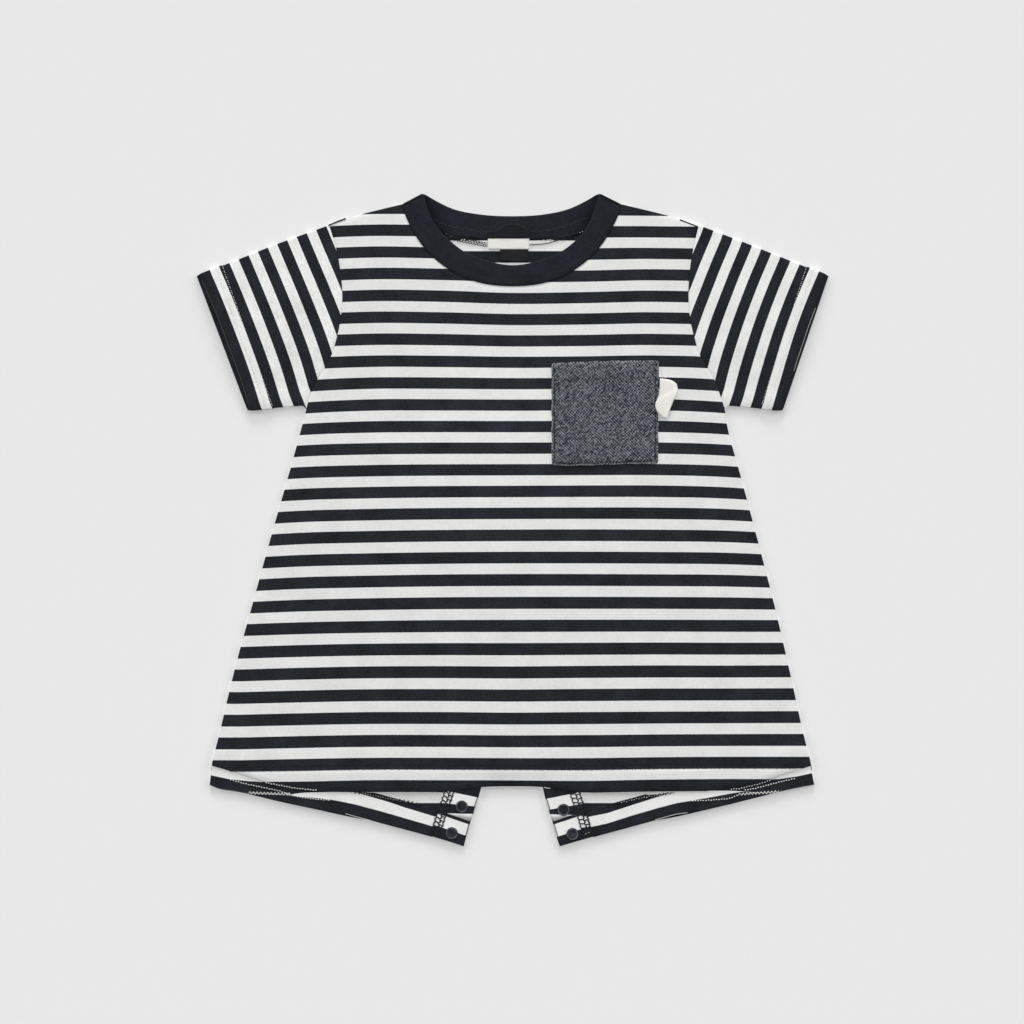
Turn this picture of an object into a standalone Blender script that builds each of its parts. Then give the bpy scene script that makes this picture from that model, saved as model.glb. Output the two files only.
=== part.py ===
"""A baby's striped T-shirt romper with short sleeves, laid flat on its back.

The front lies on the back. The back is longer: its two leg flaps show below the front hem,
with a facing along each slanted leg edge and a snap placket along each inner edge.
Sizes are in millimetres and are turned into metres when a mesh is made. +Y runs from the hem
to the neck, +Z out of the front, and z = 0 is the surface that the garment rests on.
Left and right are the sides of the laid-out garment as seen from above.
"""

import math
from collections import namedtuple

import bmesh
import bpy
import numpy as np

MM = 0.001

# Cloth and seams
WALL = 1.0  # jersey, and the woven and label cloth
RIB_WALL = 1.4  # neckband, rib folded double
SEAM_GAP = 0.3
NECK_FOLD_GAP = 1.2  # the neckband's seam stands this far off the shoulder where the band folds
HEM_DEPTH = 13.0  # front hem, from its edge to its stitching
HEM_EXTRA = 0.6  # the turned-up layer inside a hem
CUFF_DEPTH = 17.0
STEP_RUN = 2.0  # how far a hem's step takes to run out

# Air between the layers
AIR = 1.6  # between front and back, far from every closed edge
AIR_REACH = 60.0  # distance from a closed edge to where the air is full
HEM_ROOM_TOP = -145.0  # the front starts to rise here, to clear the leg facings
HEM_ROOM_RUN = 20.0

# Mesh steps
CURVE_SAMPLES = 24  # places worked out for each row of a table before a curve is spaced evenly
EDGE_SAMPLES = 600  # places on an edge that another edge is measured against
ARMHOLE_STEPS = 12
SHOULDER_STEPS = 3
NECK_FRONT_STEPS = 20
NECK_BACK_STEPS = 18
FRONT_SIDE_STEPS = 11
BACK_SHOULDER_STEPS = 6  # the back's top has as many steps as its foot
BACK_SIDE_STEPS = 8
LEG_STEPS = 10
INNER_LEG_STEPS = 3
CROTCH_STEPS = 4
SLEEVE_STEPS = 6  # from the cuff's stitching to the armhole
SLEEVE_NET_STEPS = 40
BAND_STEPS = 3
TURN_STEPS = 4
POCKET_STEPS = 8
TAB_STEPS = 3
LABEL_STEPS = (4, 2)
PLACKET_STEPS = (4, 12)
FACING_STEPS = (18, 2)
SNAP_SIDES = 24

Side = namedtuple("Side", "height left right")
Spot = namedtuple("Spot", "across height")
Band = namedtuple("Band", "seam_x seam_y free_x free_y")
Fold = namedtuple("Fold", "across height turn length width rise")
Snap = namedtuple("Snap", "name across height")

# Side seams, from the underarm down to the corner of the leg edge
SIDE_SEAMS = [
    Side(76.8, -144.1, 148.3),
    Side(64.8, -147.3, 150.1),
    Side(34.7, -155.5, 158.2),
    Side(-11.5, -168.7, 170.5),
    Side(-58.5, -181.6, 182.6),
    Side(-106.7, -194.7, 193.8),
    Side(-154.3, -206.0, 204.3),
    Side(-170.5, -210.0, 208.4),
    Side(-186.3, -211.2, 210.8),
]

# Armhole seams, from the underarm up to the tip of the shoulder
ARMHOLES = [
    Side(76.8, -144.1, 148.3),
    Side(86.5, -141.8, 145.2),
    Side(97.0, -136.9, 141.2),
    Side(106.5, -131.0, 136.0),
    Side(115.0, -126.5, 130.8),
    Side(127.0, -122.8, 127.0),
    Side(140.0, -120.2, 124.1),
    Side(152.5, -118.9, 122.9),
    Side(165.0, -119.4, 123.1),
    Side(190.0, -123.4, 126.3),
    Side(206.0, -128.1, 130.1),
]

# Half outlines, from the middle of the garment out to its side
FRONT_HEM = [
    Spot(0.0, -186.4),
    Spot(22.0, -187.0),
    Spot(45.0, -190.1),
    Spot(110.0, -190.5),
    Spot(137.0, -189.6),
    Spot(152.0, -188.0),
    Spot(163.0, -186.3),
    Spot(172.0, -184.3),
    Spot(179.0, -182.0),
    Spot(188.0, -178.8),
    Spot(197.5, -175.8),
]
FRONT_HEM_END = -172.0  # height where the front hem meets the side seam
LEG_EDGE = [
    Spot(43.8, -225.4),
    Spot(78.8, -215.9),
    Spot(106.8, -209.6),
    Spot(134.8, -203.2),
    Spot(162.8, -196.9),
    Spot(190.8, -190.0),
    Spot(208.3, -186.5),
]

# Inner edges of the leg flaps, from the crotch down to their tips
INNER_LEG_EDGE = [
    Side(-183.5, -21.3, 21.0),
    Side(-192.0, -23.3, 22.2),
    Side(-203.0, -26.9, 25.4),
    Side(-211.0, -29.4, 27.8),
    Side(-222.3, -32.6, 30.9),
    Side(-228.0, -34.2, 33.0),
]

# Neckband, from the shoulder fold to the middle: the seamed edge and the free edge
NECK_FRONT = [
    Band(76.9, 220.4, 61.6, 227.9),
    Band(74.3, 213.0, 58.2, 216.2),
    Band(68.6, 201.6, 52.6, 205.5),
    Band(58.0, 186.8, 43.4, 195.6),
    Band(43.0, 174.2, 33.8, 187.8),
    Band(25.8, 166.3, 19.8, 181.6),
    Band(0.0, 163.0, 0.0, 177.9),
]
NECK_BACK = [
    Band(76.9, 220.4, 61.6, 227.9),
    Band(66.0, 209.6, 52.6, 222.2),
    Band(47.0, 199.6, 41.5, 217.0),
    Band(24.0, 196.6, 24.0, 213.2),
    Band(0.0, 196.0, 0.0, 212.0),
]
SHOULDER_MIDDLE = Spot(113.0, 211.2)  # the shoulder line bows a little between neck and tip

# Sleeves, from the cuff towards the shoulder and towards the underarm
SLEEVE_TOP = [Side(170.5, -220.5, 220.5), Side(192.7, -165.0, 165.0)]
SLEEVE_UNDERSIDE = [
    Side(76.6, -185.0, 188.6),
    Side(78.8, -168.0, 173.0),
    Side(79.8, -157.0, 160.0),
    Side(79.7, -146.6, 150.8),
]

# Soft ridges over the front and the sleeves
FOLDS = [
    Fold(-112.0, 60.0, -38.0, 70.0, 26.0, 0.5),
    Fold(116.0, 52.0, 40.0, 74.0, 24.0, 0.5),
    Fold(-60.0, -70.0, 78.0, 120.0, 60.0, 0.6),
    Fold(70.0, -95.0, 98.0, 110.0, 64.0, 0.6),
    Fold(5.0, 60.0, 6.0, 110.0, 50.0, 0.4),
    Fold(-168.0, 130.0, 20.0, 44.0, 18.0, 0.4),
    Fold(170.0, 124.0, 158.0, 48.0, 18.0, 0.4),
]

# Pieces sewn on
POCKET_CORNERS = [Spot(27.8, 38.6), Spot(101.3, 40.7), Spot(102.1, 111.0), Spot(27.8, 109.2)]
POCKET_TOP_BOW = 0.6
POCKET_FOOT_DROP = 1.6  # the sewn foot hangs a little near its left corner
POCKET_HEM = 12.0
TAB_OUTLINE = [
    Spot(103.0, 98.4),
    Spot(107.2, 98.0),
    Spot(111.6, 96.8),
    Spot(114.6, 94.4),
    Spot(115.2, 91.0),
    Spot(113.2, 85.2),
    Spot(111.2, 82.4),
    Spot(109.6, 77.0),
    Spot(106.5, 70.4),
    Spot(104.0, 72.0),
    Spot(101.0, 75.6),
    Spot(99.8, 79.6),
    Spot(101.2, 84.0),
    Spot(103.0, 86.2),
]
TAB_CLIMB = 3.5  # how far from the pocket's edge the tab starts to climb over it
COLLAR_LABEL = (Spot(-17.8, 197.2), Spot(12.2, 206.9))
CREAM_LABEL = (Spot(-17.2, 189.2), Spot(11.5, 195.4))
SMALL_LABEL = (Spot(-8.7, 180.6), Spot(10.9, 188.8))
FACING_WIDTH = 19.0
FACING_INSET = 0.7  # a facing stays this far inside the edge that it finishes
FACING_END = 1.2  # and this far from the side seam
PLACKET_WIDTH = 25.0
PLACKET_TOP = -184.5
TUCK_HEIGHT = -207.0  # a tuck crosses each placket between its snaps
TUCK_WIDTH = 5.0
TUCK_RISE = 0.7
SNAP_PROFILE = [(0.0, 0.9), (2.6, 0.8), (3.1, 1.1), (3.7, 1.2), (4.2, 0.9), (4.3, 0.4), (4.1, 0.0)]
SNAPS = [
    Snap("snap_left_upper", -35.6, -200.8),
    Snap("snap_left_lower", -42.6, -219.4),
    Snap("snap_right_upper", 35.7, -203.1),
    Snap("snap_right_lower", 41.9, -220.0),
]

# Heights of the layers
BACK_TOP = WALL
ON_BACK = BACK_TOP + SEAM_GAP
FACING_TOP = ON_BACK + WALL
ON_FACING = FACING_TOP + SEAM_GAP
FACING_ROOM = ON_FACING - ON_BACK

JERSEY = ((0.72, 0.73, 0.72), 0.85, 0.0)
RIB = ((0.019, 0.020, 0.026), 0.85, 0.0)
CHAMBRAY = ((0.095, 0.10, 0.112), 0.85, 0.0)
TAPE = ((0.78, 0.75, 0.68), 0.8, 0.0)
LABEL_BLACK = ((0.017, 0.018, 0.019), 0.7, 0.0)
LABEL_CREAM = ((0.74, 0.73, 0.70), 0.75, 0.0)
SNAP_BLACK = ((0.03, 0.032, 0.036), 0.45, 0.6)


# Curves in plan


def smooth(points, steps):
    """A smooth curve through the points, as steps + 1 places evenly spaced along it."""
    knots = np.asarray(points, float)
    reach = lengths(knots)
    slopes = np.gradient(knots, reach, axis=0)
    places = np.linspace(0, reach[-1], CURVE_SAMPLES * len(knots))
    piece = np.clip(np.searchsorted(reach, places, side="right") - 1, 0, len(knots) - 2)
    span = (reach[piece + 1] - reach[piece])[:, None]
    s = (places - reach[piece])[:, None] / span
    start, end = knots[piece], knots[piece + 1]
    curve = start * (1 + 2 * s) * (1 - s) ** 2 + end * s**2 * (3 - 2 * s)
    curve += span * (slopes[piece] * s * (1 - s) ** 2 - slopes[piece + 1] * s**2 * (1 - s))
    return evenly(curve, steps)


def lengths(line):
    """How far along the line each of its points lies."""
    return np.concatenate([[0], np.cumsum(np.linalg.norm(np.diff(line, axis=0), axis=1))])


def evenly(line, steps):
    """The line again, as steps + 1 places evenly spaced along it."""
    line = np.asarray(line, float)
    reach = lengths(line)
    places = np.linspace(0, reach[-1], steps + 1)
    return np.stack([np.interp(places, reach, line[:, k]) for k in range(2)], axis=1)


def joined(*lines):
    """Lines that follow each other, as one, without doubling the points where they meet."""
    return np.concatenate([lines[0]] + [line[1:] for line in lines[1:]])


def half_to_side(spots, side):
    """A half outline on one side of the garment: -1 for left, 1 for right."""
    return [(side * spot.across, spot.height) for spot in spots]


def side_column(rows, side):
    """A table's left or right column, as points from its first row on."""
    return [(row.left if side < 0 else row.right, row.height) for row in rows]


def side_seam_at(height, side):
    """The place on a side seam at a height."""
    seam = smooth(side_column(SIDE_SEAMS, side)[::-1], EDGE_SAMPLES)
    return np.array([np.interp(height, seam[:, 1], seam[:, 0]), height])


def side_seam(low, high, side, steps):
    """A side seam between two heights, upwards."""
    return np.array([side_seam_at(h, side) for h in np.linspace(low, high, steps + 1)])


def armhole(side):
    """An armhole seam, from the underarm up to the tip of the shoulder."""
    return smooth(side_column(ARMHOLES, side), ARMHOLE_STEPS)


def shoulder(side, steps):
    """A shoulder line, from its tip to the neckband."""
    tip = side_column(ARMHOLES, side)[-1]
    neck = (side * NECK_FRONT[0].seam_x, NECK_FRONT[0].seam_y)
    return smooth([tip, (side * SHOULDER_MIDDLE.across, SHOULDER_MIDDLE.height), neck], steps)


def neck_line(rows, kind, steps):
    """A neckband's seamed or free edge, from the left shoulder to the right one."""
    half = [(getattr(row, kind + "_x"), getattr(row, kind + "_y")) for row in rows]
    left = [(-x, y) for x, y in half]
    return smooth(left + half[-2::-1], steps)


def upper_edge(rows, neck_steps, shoulder_steps):
    """A panel's top: left shoulder, neckline, right shoulder."""
    left = shoulder(-1, shoulder_steps)
    right = shoulder(1, shoulder_steps)[::-1]
    return joined(left, neck_line(rows, "seam", neck_steps), right)


def patch(west, east, south, north, up, over):
    """Plan points of a sheet spanned between four edges. up and over place its rows and columns."""
    v = up[:, None, None]
    u = over[None, :, None]
    sides = (1 - u) * west[:, None] + u * east[:, None]
    ends = (1 - v) * south[None] + v * north[None]
    low_corners = (1 - u) * south[0] + u * south[-1]
    high_corners = (1 - u) * north[0] + u * north[-1]
    return sides + ends - (1 - v) * low_corners - v * high_corners


def share(values):
    """Values scaled to run from 0 to 1."""
    return (values - values[0]) / (values[-1] - values[0])


# Heights


def closed_edges():
    """The lines where front and back are joined, as pairs of ends."""
    ends = []
    for side in (-1, 1):
        seam = side_column(SIDE_SEAMS, side)[::-1]
        lower = seam + side_column(SLEEVE_UNDERSIDE, side)[::-1]
        peak = (side * NECK_FRONT[0].free_x, NECK_FRONT[0].free_y)
        upper = [*side_column(SLEEVE_TOP, side), *shoulder(side, 2), peak]
        for line in (lower, upper):
            ends += list(zip(line[:-1], line[1:]))
    return np.array(ends, float)


CLOSED_EDGES = closed_edges()


def edge_distance(points):
    """How far each plan point lies from the nearest closed edge."""
    start = CLOSED_EDGES[:, 0]
    along = CLOSED_EDGES[:, 1] - start
    offset = points[..., None, :] - start
    t = np.clip((offset * along).sum(-1) / (along**2).sum(-1), 0, 1)
    return np.linalg.norm(offset - t[..., None] * along, axis=-1).min(-1)


def eased(x):
    """A soft step from 0 to 1."""
    x = np.clip(x, 0, 1)
    return x * x * (3 - 2 * x)


def fold_rise(points):
    """The height that the soft ridges add."""
    rise = np.zeros(points.shape[:-1])
    for fold in FOLDS:
        turn = math.radians(fold.turn)
        offset = points - (fold.across, fold.height)
        along = offset[..., 0] * math.cos(turn) + offset[..., 1] * math.sin(turn)
        across = offset[..., 1] * math.cos(turn) - offset[..., 0] * math.sin(turn)
        rise += fold.rise * np.exp(-((2 * along / fold.length) ** 2) - (2 * across / fold.width) ** 2)
    return rise


def front_under(points):
    """Height of the front layer's underside, over the back, the sleeves' lower layer or the facings."""
    nearness = 1 - np.clip(edge_distance(points) / AIR_REACH, 0, 1)
    room = FACING_ROOM * eased((HEM_ROOM_TOP - points[..., 1]) / HEM_ROOM_RUN)
    lift = ((AIR * (1 - nearness**2)) ** 3 + room**3) ** (1 / 3)
    return ON_BACK + lift + fold_rise(points) * (1 - nearness)


# Meshes


def at_height(points, height):
    """Plan points with a height."""
    return np.dstack([points, np.broadcast_to(height, points.shape[:-1])])


def make_object(name, points, faces, material):
    """An object from points in millimetres, with its faces turned outwards."""
    mesh = bpy.data.meshes.new(name)
    mesh.from_pydata((np.asarray(points) * MM).tolist(), [], faces)
    work = bmesh.new()
    work.from_mesh(mesh)
    bmesh.ops.recalc_face_normals(work, faces=work.faces)
    work.to_mesh(mesh)
    work.free()
    mesh.shade_smooth()
    mesh.set_sharp_from_angle(angle=math.radians(40))
    made = bpy.data.objects.new(name, mesh)
    bpy.context.scene.collection.objects.link(made)
    colour, roughness, metallic = material
    finish = bpy.data.materials.new(name)
    finish.use_nodes = True
    shader = finish.node_tree.nodes["Principled BSDF"]
    shader.inputs["Base Color"].default_value = (*colour, 1)
    shader.inputs["Roughness"].default_value = roughness
    shader.inputs["Metallic"].default_value = metallic
    mesh.materials.append(finish)
    return made


def make_wall(name, outer, inner, material, ring=False):
    """A cloth wall between two sheets of rows and columns. In a ring the last column meets the first."""
    rows, columns = outer.shape[:2]
    count = rows * columns
    spans = columns if ring else columns - 1

    def at(row, column):
        return row * columns + column % columns

    faces = []
    for row in range(rows - 1):
        for column in range(spans):
            quad = [at(row, column), at(row, column + 1), at(row + 1, column + 1), at(row + 1, column)]
            faces += [quad, [point + count for point in quad]]
    rims = [[at(row, column) for column in range(spans + 1)] for row in (0, rows - 1)]
    if not ring:
        rims += [[at(row, column) for row in range(rows)] for column in (0, columns - 1)]
    for rim in rims:
        for near, far in zip(rim[:-1], rim[1:]):
            faces.append([near, far, far + count, near + count])
    points = np.concatenate([outer.reshape(-1, 3), inner.reshape(-1, 3)])
    return make_object(name, points, faces, material)


def sheet(name, plan, under, thickness, material):
    """A wall over a plan, from the height of its underside."""
    return make_wall(name, at_height(plan, under + thickness), at_height(plan, under), material)


# Pieces


def front_hem_line(steps_at):
    """The front hem from left to right, with a point at each share of its width."""
    left_end, right_end = (side_seam_at(FRONT_HEM_END, side) for side in (-1, 1))
    left = [tuple(left_end)] + half_to_side(FRONT_HEM, -1)[::-1]
    hem = smooth(left + half_to_side(FRONT_HEM, 1)[1:] + [tuple(right_end)], EDGE_SAMPLES)
    across = left_end[0] + steps_at * (right_end[0] - left_end[0])
    return np.stack([across, np.interp(across, hem[:, 0], hem[:, 1])], axis=1)


def make_front():
    north = upper_edge(NECK_FRONT, NECK_FRONT_STEPS, SHOULDER_STEPS)
    over = share(north[:, 0])
    south = front_hem_line(over)
    hem_top = FRONT_HEM_END + HEM_DEPTH
    body = np.linspace(hem_top + STEP_RUN, ARMHOLES[0].height, FRONT_SIDE_STEPS + 1)
    heights = np.concatenate([[FRONT_HEM_END, hem_top], body])
    west, east = (
        joined(np.array([side_seam_at(h, side) for h in heights]), armhole(side)) for side in (-1, 1)
    )
    up = (share(west[:, 1]) + share(east[:, 1])) / 2
    plan = patch(west, east, south, north, up, over)
    thickness = np.full(plan.shape[:-1], WALL)
    thickness[:2] += HEM_EXTRA
    sheet("front_panel", plan, front_under(plan), thickness, JERSEY)


def leg_line(side):
    """A leg's slanted edge, from the inner tip out to the side seam."""
    tip, corner = (side_column(table, side)[-1] for table in (INNER_LEG_EDGE, SIDE_SEAMS))
    return [tip] + half_to_side(LEG_EDGE, side) + [corner]


def make_back():
    north = upper_edge(NECK_BACK, NECK_BACK_STEPS, BACK_SHOULDER_STEPS)
    left_leg = smooth(leg_line(-1)[::-1], LEG_STEPS)
    right_leg = smooth(leg_line(1), LEG_STEPS)
    left_inner = smooth(side_column(INNER_LEG_EDGE, -1)[::-1], INNER_LEG_STEPS)
    right_inner = smooth(side_column(INNER_LEG_EDGE, 1), INNER_LEG_STEPS)
    crotch = evenly([left_inner[-1], right_inner[0]], CROTCH_STEPS)
    south = joined(left_leg, left_inner, crotch, right_inner, right_leg)
    seam_foot = SIDE_SEAMS[-1].height
    west, east = (
        joined(side_seam(seam_foot, ARMHOLES[0].height, side, BACK_SIDE_STEPS), armhole(side))
        for side in (-1, 1)
    )
    up = (share(west[:, 1]) + share(east[:, 1])) / 2
    over = (share(north[:, 0]) + share(south[:, 0])) / 2
    plan = patch(west, east, south, north, up, over)
    sheet("back_panel", plan, 0.0, WALL, JERSEY)


def fold_turn(centre, outward, low, high):
    """Points round a fold's turn, from the upper layer to the lower one, less its two ends."""
    middle, radius = (high + low) / 2, (high - low) / 2
    turn = []
    for k in range(1, TURN_STEPS):
        angle = math.pi * (0.5 - k / TURN_STEPS)
        turn.append((*(centre + outward * radius * math.cos(angle)), middle + radius * math.sin(angle)))
    return turn


def make_sleeve(name, side):
    top, underside = (np.array(side_column(table, side)) for table in (SLEEVE_TOP, SLEEVE_UNDERSIDE))
    seam = armhole(side)[::-1]
    fold_radius = (2 * WALL + SEAM_GAP) / 2
    cuff = evenly([top[0], underside[0]], ARMHOLE_STEPS)
    along_top = evenly([*top, seam[0]], SLEEVE_NET_STEPS)
    along_bottom = evenly([*underside, seam[-1]], SLEEVE_NET_STEPS)
    down = share(lengths(seam))
    rows = np.linspace(0, 1, SLEEVE_NET_STEPS + 1)
    net = patch(along_top, along_bottom, cuff, seam, rows, down)
    plan = np.stack([sleeve_column(net[:, c]) for c in range(net.shape[1])], axis=1)
    outward_top = unit((0, 1), seam[0] - top[0])
    outward_bottom = unit((0, -1), underside[-1] - underside[0])
    plan[:, 0] -= outward_top * fold_radius
    plan[:, -1] -= outward_bottom * fold_radius
    hem = np.zeros(len(plan))
    hem[:2] = HEM_EXTRA
    outer, inner = [], []
    for row, extra in zip(plan, hem):
        under = front_under(row) + extra
        thick = WALL + extra
        top_face = [(*p, z) for p, z in zip(row, under + thick)]
        top_lining = [(*p, z) for p, z in zip(row, under)]
        low_face = [(*p, 0.0) for p in row[::-1]]
        low_lining = [(*p, thick) for p in row[::-1]]
        ends = ((row[-1], outward_bottom, under[-1]), (row[0], outward_top, under[0]))
        face_turns = [fold_turn(p, way, 0.0, z + thick) for p, way, z in ends]
        lining_turns = [fold_turn(p, way, thick, z) for p, way, z in ends]
        outer.append(top_face + face_turns[0] + low_face + face_turns[1][::-1])
        inner.append(top_lining + lining_turns[0] + low_lining + lining_turns[1][::-1])
    make_wall(name, np.array(outer), np.array(inner), JERSEY, ring=True)


def unit(towards, along):
    """The unit vector at right angles to along, on the side that towards points to."""
    normal = np.array([-along[1], along[0]])
    normal /= np.linalg.norm(normal)
    return normal if normal @ np.array(towards) > 0 else -normal


def sleeve_column(line):
    """One line of a sleeve from cuff to armhole: the hem's rows, then even ones up to the seam gap."""
    reach = lengths(line)
    hem = [0.0, CUFF_DEPTH, CUFF_DEPTH + STEP_RUN]
    beyond = np.linspace(hem[-1], reach[-1] - SEAM_GAP, SLEEVE_STEPS + 1)[1:]
    places = np.concatenate([hem, beyond])
    return np.stack([np.interp(places, reach, line[:, k]) for k in range(2)], axis=1)


def neck_half(rows, steps):
    """Cross lines of the neckband from the left shoulder to the right, as their two ends."""
    seam, free = (neck_line(rows, kind, steps) for kind in ("seam", "free"))
    gap = np.full(steps + 1, SEAM_GAP)
    gap[[0, -1]] = NECK_FOLD_GAP
    width = np.linalg.norm(free - seam, axis=1)
    return seam + (free - seam) * (gap / width)[:, None], free


def make_neckband():
    across = np.linspace(0, 1, BAND_STEPS + 1)[:, None, None]
    radius = (2 * RIB_WALL + SEAM_GAP) / 2
    halves = []
    for rows, steps in ((NECK_FRONT, NECK_FRONT_STEPS), (NECK_BACK, NECK_BACK_STEPS)):
        seam, free = neck_half(rows, steps)
        for end, side in ((0, -1), (-1, 1)):
            inward = -unit((0, 1), free[end] - seam[end])
            seam[end] += inward * radius
            free[end] += inward * radius
        halves.append((1 - across) * seam[None] + across * free[None])
    front, back = halves[0], halves[1][:, ::-1]
    raised = RIB_WALL - WALL
    front_low = front_under(front) + raised
    outer, inner = [], []
    for row in range(len(across)):
        top_face = [(*p, z) for p, z in zip(front[row], front_low[row] + RIB_WALL)]
        top_lining = [(*p, z) for p, z in zip(front[row], front_low[row])]
        low_face = [(*p, 0.0) for p in back[row]]
        low_lining = [(*p, RIB_WALL) for p in back[row]]
        face_turns, lining_turns = [], []
        for end in (-1, 0):
            way = unit((0, 1), front[-1, end] - front[0, end])
            place, height = front[row, end], front_low[row, end]
            face_turns.append(fold_turn(place, way, 0.0, height + RIB_WALL))
            lining_turns.append(fold_turn(place, way, RIB_WALL, height))
        outer.append(top_face + face_turns[0] + low_face + face_turns[1][::-1])
        inner.append(top_lining + lining_turns[0] + low_lining + lining_turns[1][::-1])
    make_wall("neckband", np.array(outer), np.array(inner), RIB, ring=True)


def front_top(points):
    """Height of the front panel's outer face, away from its hem."""
    return front_under(points) + WALL


def make_pocket():
    low_left, low_right, high_right, high_left = (np.array(c) for c in POCKET_CORNERS)
    over = np.linspace(0, 1, POCKET_STEPS + 1)
    bow = POCKET_TOP_BOW * 4 * over * (1 - over)
    drop = POCKET_FOOT_DROP * np.sin(math.pi * over) * (1 - over)
    south = low_left + over[:, None] * (low_right - low_left) - np.stack([0 * over, drop], axis=1)
    north = high_left + over[:, None] * (high_right - high_left) + np.stack([0 * over, bow], axis=1)
    height = high_left[1] - low_left[1]
    hem_foot = 1 - POCKET_HEM / height
    up = np.concatenate([np.linspace(0, hem_foot, POCKET_STEPS), [hem_foot + STEP_RUN / height, 1]])
    west, east = (a + up[:, None] * (b - a) for a, b in ((low_left, high_left), (low_right, high_right)))
    plan = patch(west, east, south, north, up, over)
    thickness = np.full(plan.shape[:-1], WALL)
    thickness[-2:] += HEM_EXTRA / 2
    sheet("chest_pocket", plan, front_top(plan) + SEAM_GAP, thickness, CHAMBRAY)


def make_tab():
    outline = np.array(TAB_OUTLINE, float)
    half = len(outline) // 2
    outer_side, inner_side = outline[:half], outline[half:][::-1]
    across = np.linspace(0, 1, TAB_STEPS + 1)[:, None, None]
    plan = ((1 - across) * inner_side[None] + across * outer_side[None]).transpose(1, 0, 2)[::-1]
    pocket_edge = POCKET_CORNERS[2].across
    climb = eased((pocket_edge + TAB_CLIMB - plan[..., 0]) / TAB_CLIMB) * (WALL + SEAM_GAP)
    sheet("pocket_tab", plan, front_top(plan) + SEAM_GAP + climb, WALL, TAPE)


def make_label(name, corners, under, material):
    low, high = corners
    over = np.linspace(low.across, high.across, LABEL_STEPS[0] + 1)
    up = np.linspace(low.height, high.height, LABEL_STEPS[1] + 1)
    plan = np.dstack(np.meshgrid(over, up))
    sheet(name, plan, under, WALL, material)


def offset_line(line, distance):
    """A line moved to its left by a distance."""
    way = np.gradient(line, axis=0)
    way /= np.linalg.norm(way, axis=1)[:, None]
    return line + distance * np.stack([-way[:, 1], way[:, 0]], axis=1)


def placket_edges(side):
    """A placket's inner and outer edge, from its top down to the slanted leg edge."""
    inner = offset_line(smooth(side_column(INNER_LEG_EDGE, side), PLACKET_STEPS[1]), side * FACING_INSET)
    return inner, inner + (side * PLACKET_WIDTH, 0)


def leg_edge_height(across, side):
    """Height of a leg's slanted edge at a place across the garment."""
    line = smooth(leg_line(side), EDGE_SAMPLES)
    order = np.argsort(line[:, 0])
    return np.interp(across, line[order, 0], line[order, 1])


def make_placket(name, side):
    inner, outer = placket_edges(side)
    over = np.linspace(0, 1, PLACKET_STEPS[0] + 1)
    up = np.linspace(0, 1, PLACKET_STEPS[1] + 1)
    columns = []
    for edge in over:
        line = inner + edge * (outer - inner)
        foot = leg_edge_height(line[-1, 0], side) + FACING_INSET
        heights = foot + up * (PLACKET_TOP - foot)
        columns.append(np.stack([np.interp(heights, line[::-1, 1], line[::-1, 0]), heights], axis=1))
    plan = np.stack(columns, axis=1)
    ridge = np.exp(-(((plan[..., 1] - TUCK_HEIGHT) * 2 / TUCK_WIDTH) ** 2)) * (1 - over)
    sheet(name, plan, ON_BACK, WALL + TUCK_RISE * ridge, JERSEY)


def facing_edge(side, inset):
    """A line along a leg's edge, inset from it, between the placket and the side seam."""
    line = offset_line(smooth(leg_line(side), EDGE_SAMPLES), side * inset)
    placket = placket_edges(side)[1][::-1]
    start = np.abs(np.interp(line[:, 1], placket[:, 1], placket[:, 0])) + SEAM_GAP
    seam = np.array(side_column(SIDE_SEAMS, side)[::-1])
    end = np.abs(np.interp(line[:, 1], seam[:, 1], seam[:, 0])) - FACING_END
    across = np.abs(line[:, 0])
    return evenly(line[(across > start) & (across < end)], FACING_STEPS[0])


def make_facing(name, side):
    low, high = (facing_edge(side, inset) for inset in (FACING_INSET, FACING_INSET + FACING_WIDTH))
    across = np.linspace(0, 1, FACING_STEPS[1] + 1)[:, None, None]
    plan = (1 - across) * low[None] + across * high[None]
    sheet(name, plan, ON_BACK, WALL, JERSEY)


def make_snap(snap):
    """A snap's socket, turned about its own axis."""
    points = [(0.0, 0.0, SNAP_PROFILE[0][1])]
    for radius, height in SNAP_PROFILE[1:]:
        for k in range(SNAP_SIDES):
            angle = 2 * math.pi * k / SNAP_SIDES
            points.append((radius * math.cos(angle), radius * math.sin(angle), height))
    points.append((0.0, 0.0, 0.0))
    rings = len(SNAP_PROFILE) - 1
    last = len(points) - 1
    faces = []
    for k in range(SNAP_SIDES):
        after = (k + 1) % SNAP_SIDES
        faces.append([0, 1 + k, 1 + after])
        for ring in range(rings - 1):
            near, far = 1 + ring * SNAP_SIDES, 1 + (ring + 1) * SNAP_SIDES
            faces.append([near + k, far + k, far + after, near + after])
        foot = 1 + (rings - 1) * SNAP_SIDES
        faces.append([foot + k, last, foot + after])
    made = make_object(snap.name, points, faces, SNAP_BLACK)
    made.location = (snap.across * MM, snap.height * MM, (FACING_TOP + SEAM_GAP) * MM)


def clear_scene():
    for obj in list(bpy.data.objects):
        bpy.data.objects.remove(obj)


def main():
    clear_scene()
    make_front()
    make_back()
    make_sleeve("sleeve_left", -1)
    make_sleeve("sleeve_right", 1)
    make_neckband()
    make_pocket()
    make_tab()
    make_label("collar_label", COLLAR_LABEL, RIB_WALL + SEAM_GAP, LABEL_BLACK)
    make_label("cream_label", CREAM_LABEL, ON_BACK, LABEL_CREAM)
    make_label("small_label", SMALL_LABEL, ON_BACK, LABEL_BLACK)
    for side, word in ((-1, "left"), (1, "right")):
        make_facing("leg_facing_" + word, side)
        make_placket("placket_" + word, side)
    for snap in SNAPS:
        make_snap(snap)


main()
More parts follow.
